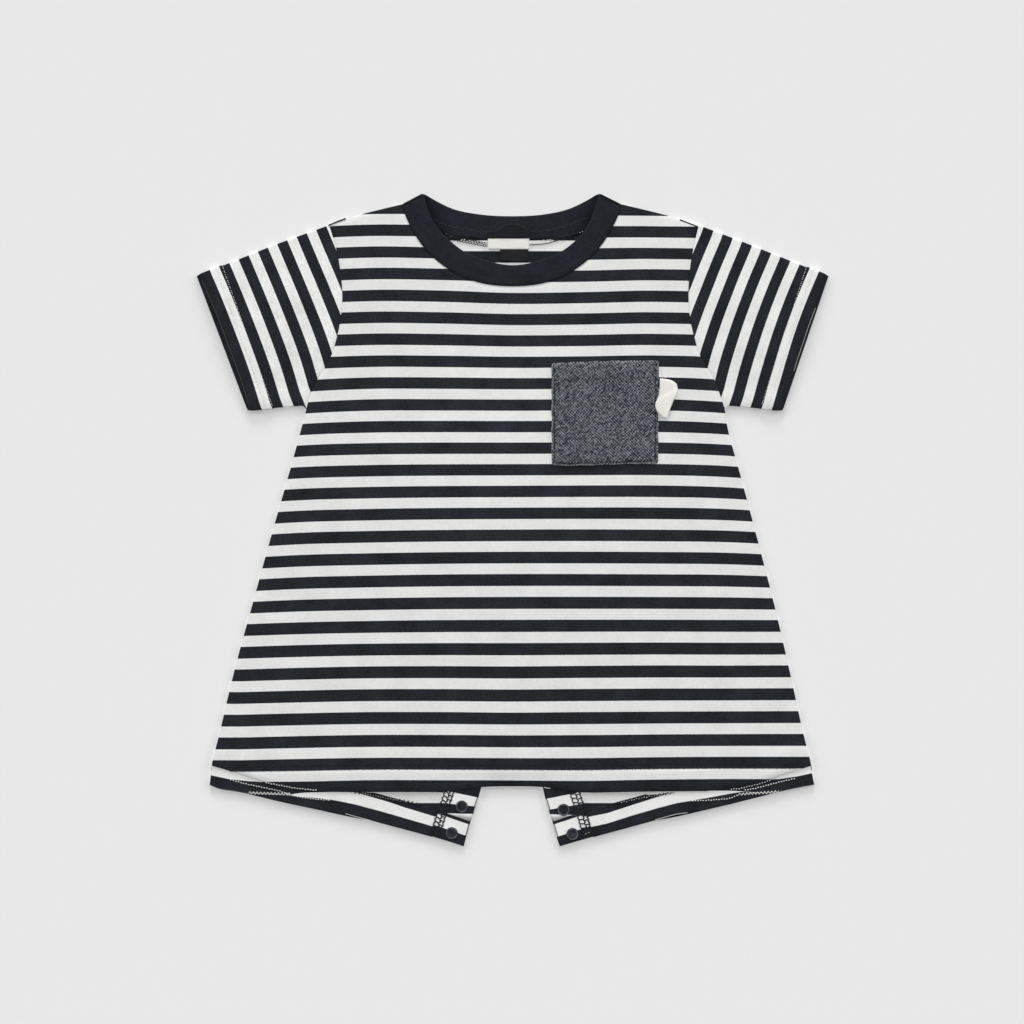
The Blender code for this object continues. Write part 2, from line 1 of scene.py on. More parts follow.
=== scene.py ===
"""Looks of a baby's striped T-shirt romper, laid flat on its back.

Plan sizes are in millimetres: +Y runs from the hem to the neck, +Z out of the front, and
z = 0 is the table. Left and right are the garment's sides as seen from above.
Each cloth piece is a thin shell on the form of its solid, with its folds, hems and sewing.
"""

import math
from collections import namedtuple

import bpy
import numpy as np
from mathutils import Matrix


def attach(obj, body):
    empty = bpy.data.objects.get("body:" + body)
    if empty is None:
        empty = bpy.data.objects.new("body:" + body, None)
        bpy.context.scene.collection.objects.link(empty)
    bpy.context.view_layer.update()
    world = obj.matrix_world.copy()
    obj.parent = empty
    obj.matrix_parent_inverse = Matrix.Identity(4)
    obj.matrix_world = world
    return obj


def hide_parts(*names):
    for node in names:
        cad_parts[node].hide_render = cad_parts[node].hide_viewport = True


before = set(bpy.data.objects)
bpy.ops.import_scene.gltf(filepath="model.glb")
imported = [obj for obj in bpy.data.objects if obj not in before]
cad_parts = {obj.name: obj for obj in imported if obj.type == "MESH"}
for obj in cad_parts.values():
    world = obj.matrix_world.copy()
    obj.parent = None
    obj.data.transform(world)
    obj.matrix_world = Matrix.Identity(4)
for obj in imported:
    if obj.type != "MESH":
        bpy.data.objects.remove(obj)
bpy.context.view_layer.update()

MM = 0.001

# Cloth, as in the solids
WALL = 1.0
RIB_WALL = 1.4
SEAM_GAP = 0.3
HEM_EXTRA = 0.6
CUFF_DEPTH = 17.0
AIR = 1.6
AIR_REACH = 60.0
HEM_ROOM_TOP = -145.0
HEM_ROOM_RUN = 20.0
BACK_TOP = WALL
ON_BACK = BACK_TOP + SEAM_GAP
FACING_TOP = ON_BACK + WALL
FACING_ROOM = WALL + SEAM_GAP

# Finer form of the cloth
SEAM_DITCH = 0.45  # how far cloth dips where it is sewn to its neighbour
SEAM_DITCH_RUN = 1.3
SEAM_RIDGE = 0.35  # seam allowances inside lift the cloth beside a side seam
SEAM_RIDGE_WIDTH = 7.0
SEAM_RIDGE_RUN = 6.0
SEAM_RIDGE_START = 3.0
FOLD_FADE = 0.6  # folds fade towards the closed edges
SIDE_DITCH = 0.5  # share of a seam's dip along the sides, below the armholes
ARMHOLE_START = 4.0
HEM_GROOVE = 0.22  # stitching pulls a hem in
HEM_GROOVE_RUN = 1.1
ROLL = 0.2  # how round a cloth edge is, as a share of the wall
FOLD_FULLNESS = 0.45  # below 1 a pressed fold turns close to its edge
HEM_REST = 0.12  # the front's pressed hem lies this far over the facings
HEM_EDGE_WALL = 0.9
HEM_SAG = 0.7  # and lower where no cloth lies under it
BARE_FROM, BARE_RUN = 16.0, 14.0  # which is between the flaps, this far from the middle
HEM_STEP_LEAD, HEM_STEP_RUN = 1.0, 2.5  # a hem's second layer ends just past its stitching
HEM_THIN_RUN, HEM_THIN_SHARE = 4.0, 0.1  # and it thickens this far in from its edge
PRESS_RUN = 16.0

# Grids of the shells
CURVE_SAMPLES = 24
EDGE_SAMPLES = 600
NECK_STEPS = 120
SHOULDER_STEPS = 26
BORDER_POWER = 1.35  # steps crowd together towards a border
HEM_STEPS = 14
SIDE_STEPS = 92
ARMHOLE_STEPS = 56
BACK_SIDE_STEPS = 90
LEG_STEPS = 60
INNER_LEG_STEPS = 14
CROTCH_STEPS = 16
CUFF_STEPS = 18
SLEEVE_STEPS = 34
SLEEVE_NET_STEPS = 60
SLEEVE_COLUMNS = 72
BAND_STEPS = 14
TURN_STEPS = 9
RIB_PITCH = 1.5
BAND_WIDTH = 16.0
PEAK_TURN, PEAK_DROP = 3.0, 0.9  # the neckband's peaks are a little round
TWIN_SEAM = (5.9, 7.2)  # lines of stitching on the neckband, from its seam
TWIN_GROOVE, TWIN_GROOVE_RUN = 0.12, 0.5
BAND_SEAM_DIP, BAND_SEAM_RUN = 0.4, 1.0
BACK_SEAM, BACK_DENT, BACK_DENT_RUN = 6.0, 0.10, 0.6
RIB_RELIEF = 0.07
RIB_START = 6  # ribs reach their full height at one part in six of the width
STEPS_A_RIB = 4
POCKET_GRID = (56, 56)
SNAP_SIDES = 56

Side = namedtuple("Side", "height left right")
Spot = namedtuple("Spot", "across height")
Band = namedtuple("Band", "seam_left seam_right seam_y free_left free_right free_y")
Fold = namedtuple("Fold", "across height turn length width rise")
Snap = namedtuple("Snap", "name across height tone")
Rim = namedtuple("Rim", "across left right")
LegBand = namedtuple("LegBand", "across low high third")
Slant = namedtuple("Slant", "inner outer")
Sewn = namedtuple("Sewn", "name path surface kind sizes thread radius")

SIDE_SEAMS = [
    Side(76.8, -144.1, 148.3),
    Side(64.8, -147.3, 150.1),
    Side(34.7, -155.5, 158.2),
    Side(-11.5, -168.7, 170.5),
    Side(-58.5, -181.6, 182.6),
    Side(-106.7, -194.7, 193.8),
    Side(-154.3, -206.0, 204.3),
    Side(-170.5, -210.0, 208.4),
    Side(-185.6, -211.8, 210.9),
]
ARMHOLES = [
    Side(76.8, -144.1, 148.3),
    Side(86.5, -141.8, 145.2),
    Side(97.0, -136.9, 141.2),
    Side(106.5, -131.0, 136.0),
    Side(115.0, -126.5, 130.8),
    Side(127.0, -122.8, 127.0),
    Side(140.0, -120.2, 124.1),
    Side(152.5, -118.9, 122.9),
    Side(165.0, -119.4, 123.1),
    Side(190.0, -123.4, 126.3),
    Side(206.0, -128.1, 130.1),
]
FRONT_HEM = [
    Spot(0.0, -186.4),
    Spot(22.0, -187.0),
    Spot(45.0, -190.1),
    Spot(110.0, -190.5),
    Spot(137.0, -189.6),
    Spot(152.0, -188.0),
    Spot(163.0, -186.3),
    Spot(172.0, -184.3),
    Spot(179.0, -182.0),
    Spot(188.0, -178.8),
    Spot(197.5, -175.8),
]
FRONT_HEM_END = -172.0
LEG_EDGE = [
    Rim(43.8, -225.5, -225.5),
    Rim(78.8, -215.9, -216.1),
    Rim(92.8, -212.2, -212.3),
    Rim(99.8, -210.3, -210.4),
    Rim(106.8, -209.2, -209.3),
    Rim(134.8, -203.3, -203.2),
    Rim(162.8, -197.3, -196.5),
    Rim(190.8, -190.7, -189.5),
    Rim(208.3, -187.3, -186.0),
]
INNER_LEG_EDGE = [
    Side(-183.5, -21.3, 21.0),
    Side(-192.0, -23.3, 22.2),
    Side(-203.0, -26.9, 25.4),
    Side(-211.0, -29.4, 27.8),
    Side(-222.3, -32.6, 30.9),
    Side(-228.4, -34.2, 33.0),
]
NECK_FRONT = [
    Band(-77.6, 76.3, 220.4, -62.8, 60.6, 228.2),
    Band(-75.1, 73.9, 213.0, -59.3, 57.3, 216.2),
    Band(-69.7, 68.5, 201.6, -53.9, 52.6, 205.5),
    Band(-59.2, 58.0, 186.8, -44.9, 44.9, 195.6),
    Band(-43.6, 43.0, 174.2, -35.0, 35.2, 187.8),
    Band(-26.0, 25.8, 166.3, -20.4, 20.8, 181.5),
    Band(0.0, 0.0, 163.0, 0.0, 0.0, 177.5),
]
NECK_BACK = [
    Band(-77.6, 76.3, 220.4, -62.8, 60.6, 228.2),
    Band(-66.6, 65.6, 209.6, -53.4, 51.2, 222.6),
    Band(-47.4, 46.8, 199.1, -42.0, 39.6, 217.2),
    Band(-24.0, 24.0, 196.1, -24.0, 22.8, 213.4),
    Band(0.0, 0.0, 196.0, 0.0, 0.0, 212.0),
]
NECK_HALVES = [(NECK_FRONT, 212.0), (NECK_BACK, 150.0)]  # with their lengths
SHOULDER_MIDDLE = Spot(113.0, 211.2)
SLEEVE_TOP = [Side(170.5, -220.5, 220.5), Side(192.7, -165.0, 165.0)]
SLEEVE_UNDERSIDE = [
    Side(76.7, -185.0, 188.6),
    Side(77.8, -169.5, 172.0),
    Side(79.0, -157.0, 160.0),
    Side(79.7, -146.6, 150.8),
]
FOLDS = [
    Fold(-112.0, 60.0, -38.0, 70.0, 26.0, 0.5),
    Fold(116.0, 52.0, 40.0, 74.0, 24.0, 0.5),
    Fold(-60.0, -70.0, 78.0, 120.0, 60.0, 0.6),
    Fold(70.0, -95.0, 98.0, 110.0, 64.0, 0.6),
    Fold(5.0, 60.0, 6.0, 110.0, 50.0, 0.4),
    Fold(-168.0, 130.0, 20.0, 44.0, 18.0, 0.4),
    Fold(170.0, 124.0, 158.0, 48.0, 18.0, 0.4),
]

# Softer creases of the front and the sleeves: ridges, and troughs with a rise below zero
CREASES = [
    Fold(-128.0, 78.0, -42.0, 46.0, 9.0, -0.30),
    Fold(-104.0, 44.0, -52.0, 64.0, 15.0, -0.34),
    Fold(-72.0, 12.0, -66.0, 80.0, 20.0, 0.30),
    Fold(128.0, 70.0, 48.0, 44.0, 9.0, -0.28),
    Fold(108.0, 18.0, 62.0, 70.0, 18.0, -0.26),
    Fold(-96.0, 150.0, -70.0, 60.0, 14.0, 0.22),
    Fold(92.0, 148.0, 66.0, 58.0, 14.0, 0.20),
    Fold(0.0, 128.0, 4.0, 70.0, 16.0, -0.22),
    Fold(-30.0, 96.0, 10.0, 64.0, 16.0, 0.20),
    Fold(-44.0, -30.0, 84.0, 110.0, 22.0, -0.30),
    Fold(-12.0, -46.0, 92.0, 120.0, 24.0, 0.32),
    Fold(26.0, -18.0, 88.0, 96.0, 20.0, -0.26),
    Fold(64.0, -36.0, 96.0, 110.0, 26.0, 0.26),
    Fold(104.0, -70.0, 104.0, 96.0, 24.0, -0.26),
    Fold(-112.0, -60.0, 76.0, 100.0, 26.0, -0.26),
    Fold(-142.0, -112.0, 72.0, 86.0, 20.0, 0.28),
    Fold(-134.0, -148.0, 30.0, 52.0, 26.0, -0.34),
    Fold(-96.0, -152.0, 64.0, 54.0, 22.0, 0.26),
    Fold(-36.0, -128.0, 58.0, 74.0, 26.0, -0.36),
    Fold(-8.0, -150.0, 70.0, 64.0, 20.0, 0.26),
    Fold(34.0, -134.0, 106.0, 70.0, 22.0, -0.22),
    Fold(106.0, -172.0, 6.0, 78.0, 18.0, -0.40),
    Fold(96.0, -136.0, 12.0, 60.0, 16.0, 0.24),
    Fold(150.0, -120.0, 106.0, 84.0, 22.0, 0.26),
    Fold(-198.0, 128.0, 66.0, 50.0, 12.0, -0.22),
    Fold(-154.0, 138.0, 62.0, 56.0, 13.0, 0.24),
    Fold(-150.0, 96.0, 32.0, 34.0, 10.0, -0.26),
    Fold(196.0, 126.0, 114.0, 50.0, 12.0, -0.22),
    Fold(156.0, 136.0, 118.0, 56.0, 13.0, 0.24),
    Fold(152.0, 96.0, 148.0, 34.0, 10.0, -0.26),
]

# Stripes: a dark course from its top edge down, then a pale one, numbered from the chest
DARK_SHARE = 0.524
COURSE_STATIONS = (-190.0, -150.0, -100.0, -50.0, 0.0, 50.0, 100.0, 150.0, 190.0)
FRONT_COURSES = [
    (-6, (248.0, 251.0, 253.0, 252.6, 252.0, 251.6, 251.0, 250.6, 248.0)),
    (-4, (215.7, 219.2, 221.7, 221.5, 221.3, 220.8, 220.4, 219.7, 216.1)),
    (-2, (183.0, 188.3, 191.0, 190.3, 189.8, 189.8, 190.0, 188.4, 182.7)),
    (-1, (167.5, 173.0, 176.0, 175.5, 174.3, 174.2, 175.1, 173.2, 167.0)),
    (0, (151.9, 157.8, 160.6, 160.2, 158.5, 159.1, 160.1, 158.0, 151.3)),
    (1, (137.0, 142.8, 145.4, 145.0, 143.8, 144.2, 145.0, 143.0, 136.5)),
    (3, (107.0, 112.3, 114.7, 114.6, 113.9, 114.2, 114.8, 112.8, 106.6)),
    (5, (77.5, 81.6, 84.1, 84.2, 84.0, 84.2, 84.4, 82.0, 77.6)),
    (7, (48.1, 51.8, 53.5, 53.9, 53.9, 54.0, 54.0, 52.4, 48.7)),
    (9, (18.6, 21.5, 22.9, 23.5, 23.7, 23.9, 23.9, 22.6, 19.6)),
    (11, (-11.7, -9.2, -7.9, -7.2, -6.9, -6.8, -7.0, -7.7, -9.8)),
    (13, (-42.4, -40.3, -39.1, -38.3, -38.0, -38.0, -38.2, -38.6, -40.0)),
    (15, (-73.2, -71.8, -70.8, -70.2, -70.0, -69.9, -69.9, -70.1, -70.2)),
    (17, (-104.8, -103.6, -102.6, -102.4, -102.6, -102.2, -101.9, -102.0, -101.9)),
    (19, (-136.4, -135.4, -134.5, -134.5, -134.9, -134.5, -134.2, -134.0, -133.9)),
    (21, (-168.2, -167.3, -166.5, -166.5, -166.7, -166.7, -166.1, -165.8, -165.8)),
    (22, (-183.3, -183.1, -182.1, -182.1, -182.3, -182.6, -181.7, -181.3, -181.4)),
    (24, (-214.9, -214.7, -214.3, -214.4, -214.4, -214.4, -214.0, -213.3, -213.8)),
]
BACK_COURSES = [
    (number, (height,) * len(COURSE_STATIONS))
    for number, height in ((-8, 280.6), (-2, 187.9), (23, -198.3), (27, -260.1))
]
COURSE_PITCH = 15.4  # millimetres of cloth in one dark and one pale course

# Sleeves: the cuff's line, and how deep the dark course at the cuff is along it
CUFF_LINES = {
    -1: (Spot(-220.4, 169.5), Spot(-184.7, 76.6)),
    1: (Spot(220.4, 170.2), Spot(188.6, 77.0)),
}
CUFF_STATIONS = (0.0, 0.2, 0.35, 0.5, 0.65, 0.8, 1.0)
CUFF_DARK = {
    -1: (9.8, 10.6, 10.8, 10.85, 10.65, 10.1, 8.8),
    1: (6.9, 8.4, 9.0, 9.05, 8.6, 7.9, 6.9),
}
CUFF_ROWS = {  # ends of the outer and the inner row of stitches
    -1: ((Spot(-207.8, 175.6), Spot(-173.0, 80.0)), (Spot(-202.8, 177.0), Spot(-167.9, 79.1))),
    1: ((Spot(210.3, 174.6), Spot(179.5, 80.1)), (Spot(205.4, 176.4), Spot(173.9, 79.4))),
}
SLEEVE_PITCH = {
    -1: (14.5, 14.47, 14.54, 14.6, 14.68, 14.72, 14.6),
    1: (14.4, 14.38, 14.4, 14.53, 14.68, 14.78, 14.6),
}
CUFF_INSET = {
    -1: (2.0, 2.9, 3.2, 3.1, 3.0, 2.6, 1.0),
    1: (0.3, 0.7, 1.3, 1.3, 1.2, 0.6, 0.2),
}
LIP_SPAN = {-1: (0.03, 0.97), 1: (0.24, 0.72)}  # where the upper layer's edge catches light
CUFF_OUTSET = 0.45  # the lower layer of a cuff shows this far beyond its line
CUFF_CLOSE = 0.02  # share of a cuff's length over which its two layers come together
CUFF_DARK_START = 0.12  # keeps the cuff's own fold in the dark course
CUFF_CLOSE_ROWS = 3  # close rows run this far past the hem

# Leg facings: tops of the lowest dark course, of the pale one over it and of the next dark one
LEG_BANDS = {
    -1: [
        LegBand(-212.0, -187.2, -187.15, -178.6),
        LegBand(-199.2, -189.2, -189.15, -181.3),
        LegBand(-185.2, -191.5, -191.45, -182.9),
        LegBand(-175.4, -192.1, -192.05, -183.5),
        LegBand(-156.5, -192.7, -192.6, -184.6),
        LegBand(-151.2, -193.6, -191.6, -184.3),
        LegBand(-145.3, -194.0, -191.0, -184.0),
        LegBand(-134.4, -194.9, -190.7, -183.6),
        LegBand(-124.3, -196.2, -190.5, -183.4),
        LegBand(-110.3, -199.0, -190.6, -183.4),
        LegBand(-87.6, -205.2, -197.2, -188.9),
        LegBand(-74.6, -209.0, -201.6, -192.6),
        LegBand(-56.1, -214.4, -207.2, -198.0),
        LegBand(-46.0, -217.3, -210.2, -201.0),
    ],
    1: [
        LegBand(46.0, -217.4, -209.6, -201.4),
        LegBand(55.1, -214.8, -207.5, -199.4),
        LegBand(66.4, -212.4, -205.3, -197.4),
        LegBand(83.9, -206.8, -199.6, -193.0),
        LegBand(101.4, -201.7, -194.0, -192.1),
        LegBand(110.0, -199.4, -191.2, -191.0),
        LegBand(114.6, -198.2, -189.6, -189.4),
        LegBand(123.3, -196.8, -189.6, -189.4),
        LegBand(138.2, -194.2, -189.6, -183.0),
        LegBand(151.4, -191.7, -189.6, -182.4),
        LegBand(161.0, -190.2, -190.15, -182.0),
        LegBand(173.2, -191.2, -191.15, -181.9),
        LegBand(186.4, -191.4, -191.35, -181.4),
        LegBand(198.9, -190.4, -190.35, -179.6),
        LegBand(212.0, -188.4, -188.35, -176.8),
    ],
}
FACING_WIDTH = 19.0
FACING_INSET = 0.1
FACING_END = -0.05
FACING_TURN = 9  # its last steps keep one direction
FACING_STEPS = 110
FACING_COURSES = (1.3, 1.0, DARK_SHARE, 0.0, -0.3)  # courses at its edges and between its bands
FACING_BAND_STEPS = 7
FACING_FULL = 0.98  # a band that reaches this share of the width has no pale one over it
FACING_DARK_END = 0.03

# Plackets: heights of the course edges at the inner and the outer edge, from the top down
PLACKET_WIDTH = 25.0
PLACKET_TOP = -184.5
PLACKET_BANDS = {
    -1: [
        Slant(-194.4, -189.4),
        Slant(-200.6, -198.0),
        Slant(-205.8, -205.3),
        Slant(-211.1, -203.2),
        Slant(-213.2, -205.4),
        Slant(-221.0, -213.2),
    ],
    1: [
        Slant(-195.4, -190.6),
        Slant(-202.9, -198.6),
        Slant(-206.0, -207.0),
        Slant(-211.3, -203.4),
        Slant(-213.2, -205.6),
        Slant(-221.8, -214.4),
    ],
}
FACING_ROUNDS = 4
FACING_LEAST, FACING_MOST = 0.002, 0.99  # smallest step between its shares, and the largest share
PLACKET_STEPS = 60
PLACKET_COLUMNS = 16
PLACKET_BAND_STEPS = 8
PLACKET_COURSE_ENDS = (0.3, 0.4)  # course at its top, and what is left of one at its foot
PLACKET_STEP_DOWN = 0.02  # keeps bands that close up from crossing
TUCK_HEIGHT = -207.0
TUCK_WIDTH = 5.0
TUCK_RISE = 0.7
TUCK_SHADE = 0.6
TUCK_SHADE_RUN = 0.45
TUCK_COURSES = (1.55, 2.02)  # the dark course that lies in the tuck's shade

# Pieces sewn on
POCKET_CORNERS = [Spot(27.4, 37.9), Spot(101.6, 39.2), Spot(102.1, 110.9), Spot(27.4, 109.0)]
POCKET_ROUND = (2.4, 1.6, 0.7, 1.3)  # how round its corners are, from the low left one on
POCKET_STITCH = 1.9  # topstitching, in from the pocket's edges
POCKET_WAVE, POCKET_SECOND_WAVE, POCKET_SECOND_TURNS = 0.22, 0.6, 2.7
POCKET_TURNS = {"south": 9, "north": 11, "west": 10, "east": 12}
POCKET_TOP_BOW = 0.6
POCKET_FOOT_DROP = 1.7
POCKET_HEM = 12.0
POCKET_GROOVE, POCKET_GROOVE_RUN = 0.2, 0.8
POCKET_HEM_GROOVE, POCKET_HEM_RUN, POCKET_HEM_STEP = 0.14, 1.0, 2
POCKET_EDGE_DIP, POCKET_EDGE_RUN = 0.35, 1.4
POCKET_SEAM_SHADE, POCKET_HEM_SHADE = 0.7, (0.7, 0.9, 40.0)  # runs, the hem's after its strength
POCKET_EDGE_LIGHT = 0.8
TAB_OUTLINE = [
    Spot(103.0, 98.4),
    Spot(107.2, 98.0),
    Spot(111.6, 96.8),
    Spot(114.6, 94.4),
    Spot(115.2, 91.0),
    Spot(113.2, 85.2),
    Spot(111.2, 82.4),
    Spot(109.6, 77.0),
    Spot(106.5, 70.4),
    Spot(104.0, 72.0),
    Spot(101.0, 75.6),
    Spot(99.8, 79.6),
    Spot(101.2, 84.0),
    Spot(103.0, 86.2),
]
TAB_CREASE = (Spot(103.2, 85.9), Spot(112.9, 91.1))
TAB_CLIMB = 3.5
TAB_GRID = (30, 12)
TAB_LOBE, TAB_DENT = (0.35, 1.2), (0.30, 0.7)  # heights and runs
COLLAR_LABEL = (Spot(-17.6, 196.9), Spot(11.6, 206.0))
CREAM_LABEL = (Spot(-17.2, 189.2), Spot(11.5, 196.4))
SMALL_LABEL = (Spot(-8.7, 180.6), Spot(10.9, 188.8))
COLLAR_CROWN = [  # its sewn top is rounded
    Spot(-17.6, 200.8),
    Spot(-13.0, 201.7),
    Spot(-9.2, 203.5),
    Spot(-5.6, 206.0),
    Spot(-0.1, 207.0),
    Spot(5.4, 206.2),
    Spot(8.8, 204.6),
    Spot(11.6, 202.6),
]
LABEL_GRID = (30, 10)
LABEL_WAVE, LABEL_WAVES = 0.10, (0.35, 0.5)
# tone: how light the painted reflections on a snap are; the lower snaps are painted lighter
SNAPS = [
    Snap("snap_left_upper", -35.6, -200.8, 0.92),
    Snap("snap_left_lower", -42.6, -219.4, 1.5),
    Snap("snap_right_upper", 35.7, -203.1, 0.92),
    Snap("snap_right_lower", 41.9, -220.0, 1.6),
]
SNAP_PROFILE = [
    (0.0, 0.86),
    (1.0, 0.85),
    (2.4, 0.82),
    (3.2, 0.80),
    (3.4, 0.86),
    (3.55, 0.94),
    (3.7, 0.97),
    (3.9, 0.92),
    (4.12, 0.78),
    (4.26, 0.50),
    (4.28, 0.25),
    (4.1, 0.0),
]

SNAP_RING, SNAP_RING_WIDTH, SNAP_RING_FOOT = 3.65, 0.26, 0.7  # a painted highlight lies along the rim here

# Colours, as light that the finish gives back
PALE_YARN = (0.776, 0.779, 0.770)
DARK_YARN = (0.0194, 0.0216, 0.0277)
RIB_YARN = (0.0150, 0.0163, 0.0222)
CHAMBRAY_DARK = (0.0128, 0.0088, 0.0250)
CHAMBRAY_PALE = (0.248, 0.270, 0.276)
TAPE_CREAM = (0.80, 0.785, 0.735)
LABEL_CREAM = (0.76, 0.75, 0.71)
LABEL_BLACK = (0.0150, 0.0157, 0.0193)
LABEL_FADED = (0.0177, 0.0183, 0.0195)
SNAP_ENAMEL = (0.0150, 0.0172, 0.0205)
# painted highlight: the colour of the lighter ring along a snap's rim
SNAP_RIM_HIGHLIGHT = (0.20, 0.205, 0.215)
THREAD_COLOURS = {
    "white": (0.72, 0.72, 0.70),
    "grey": (0.42, 0.42, 0.42),
    "dim": (0.065, 0.067, 0.072),
    "black": (0.0105, 0.0115, 0.0145),
}
TABLE = (0.81, 0.81, 0.81)
# painted light: both yarns are painted lightest on the chest and darker away from it
BODY_PALE, CHEST_PALE = 0.97, 0.055
BODY_DARK, CHEST_DARK = 0.80, 0.19
CHEST_HEIGHT, CHEST_REACH = 70, (130, 90)
SLEEVE_TONE = {-1: (1.03, 0.80), 1: (1.015, 0.80)}
SLEEVE_WEAR = {-1: 1.0, 1: 0.5}  # how much more uneven the yarn looks
INSIDE_TONE = (1.02, 0.75)
BACK_BAND_TONE = 1.02
TWIN_SHADE, TWIN_SHADE_RUN, TWIN_SECOND = 0.16, 0.35, 0.7
BAND_SEAM_SHADE, OVERHANG_SHADE = (0.4, 0.8), (0.6, 6.0)  # strengths and runs

# Sewing
THREAD_SIDES = 6
THREAD_TAPER = 0.35
STITCH_POINTS = 5
STITCH_ARCH, STITCH_SINK = 1.5, 0.4  # shares of the thread's radius
STITCH_TURN = 2.4  # spreads the wander of stitches that follow each other
LOOP_LIFT = 0.6
OVERLOCK_THREADS = (-1.0, 0.08, 1.0)  # across an overlock, as shares of half its width
OVERLOCK_WAVE, OVERLOCK_LIFT, OVERLOCK_STEPS = 0.3, 0.12, 8
TUFT = 0.9  # short thread ends across an overlock
RUN_STEPS, ROW_STEPS, HEM_ROW_STEPS = 40, 60, 300
STITCH_SET_BACK = 0.1  # rows lie this far from the edge they follow
OVER_BACK, OVER_LABEL = 0.2, 0.1  # height of threads over the cloth
HEM_ROW_ENDS, HEM_ROW_GAP = (-198.0, 200.0), 3.4
YARN_END_INSET = 0.4
CUFF_SEWING = [  # its rows of stitches, with their sizes, thread and radius
    ("outer", (0.8, 1.3, 0.0), "grey", 0.16),
    ("inner", (0.7, 0.75, 0.28), "white", 0.22),
]
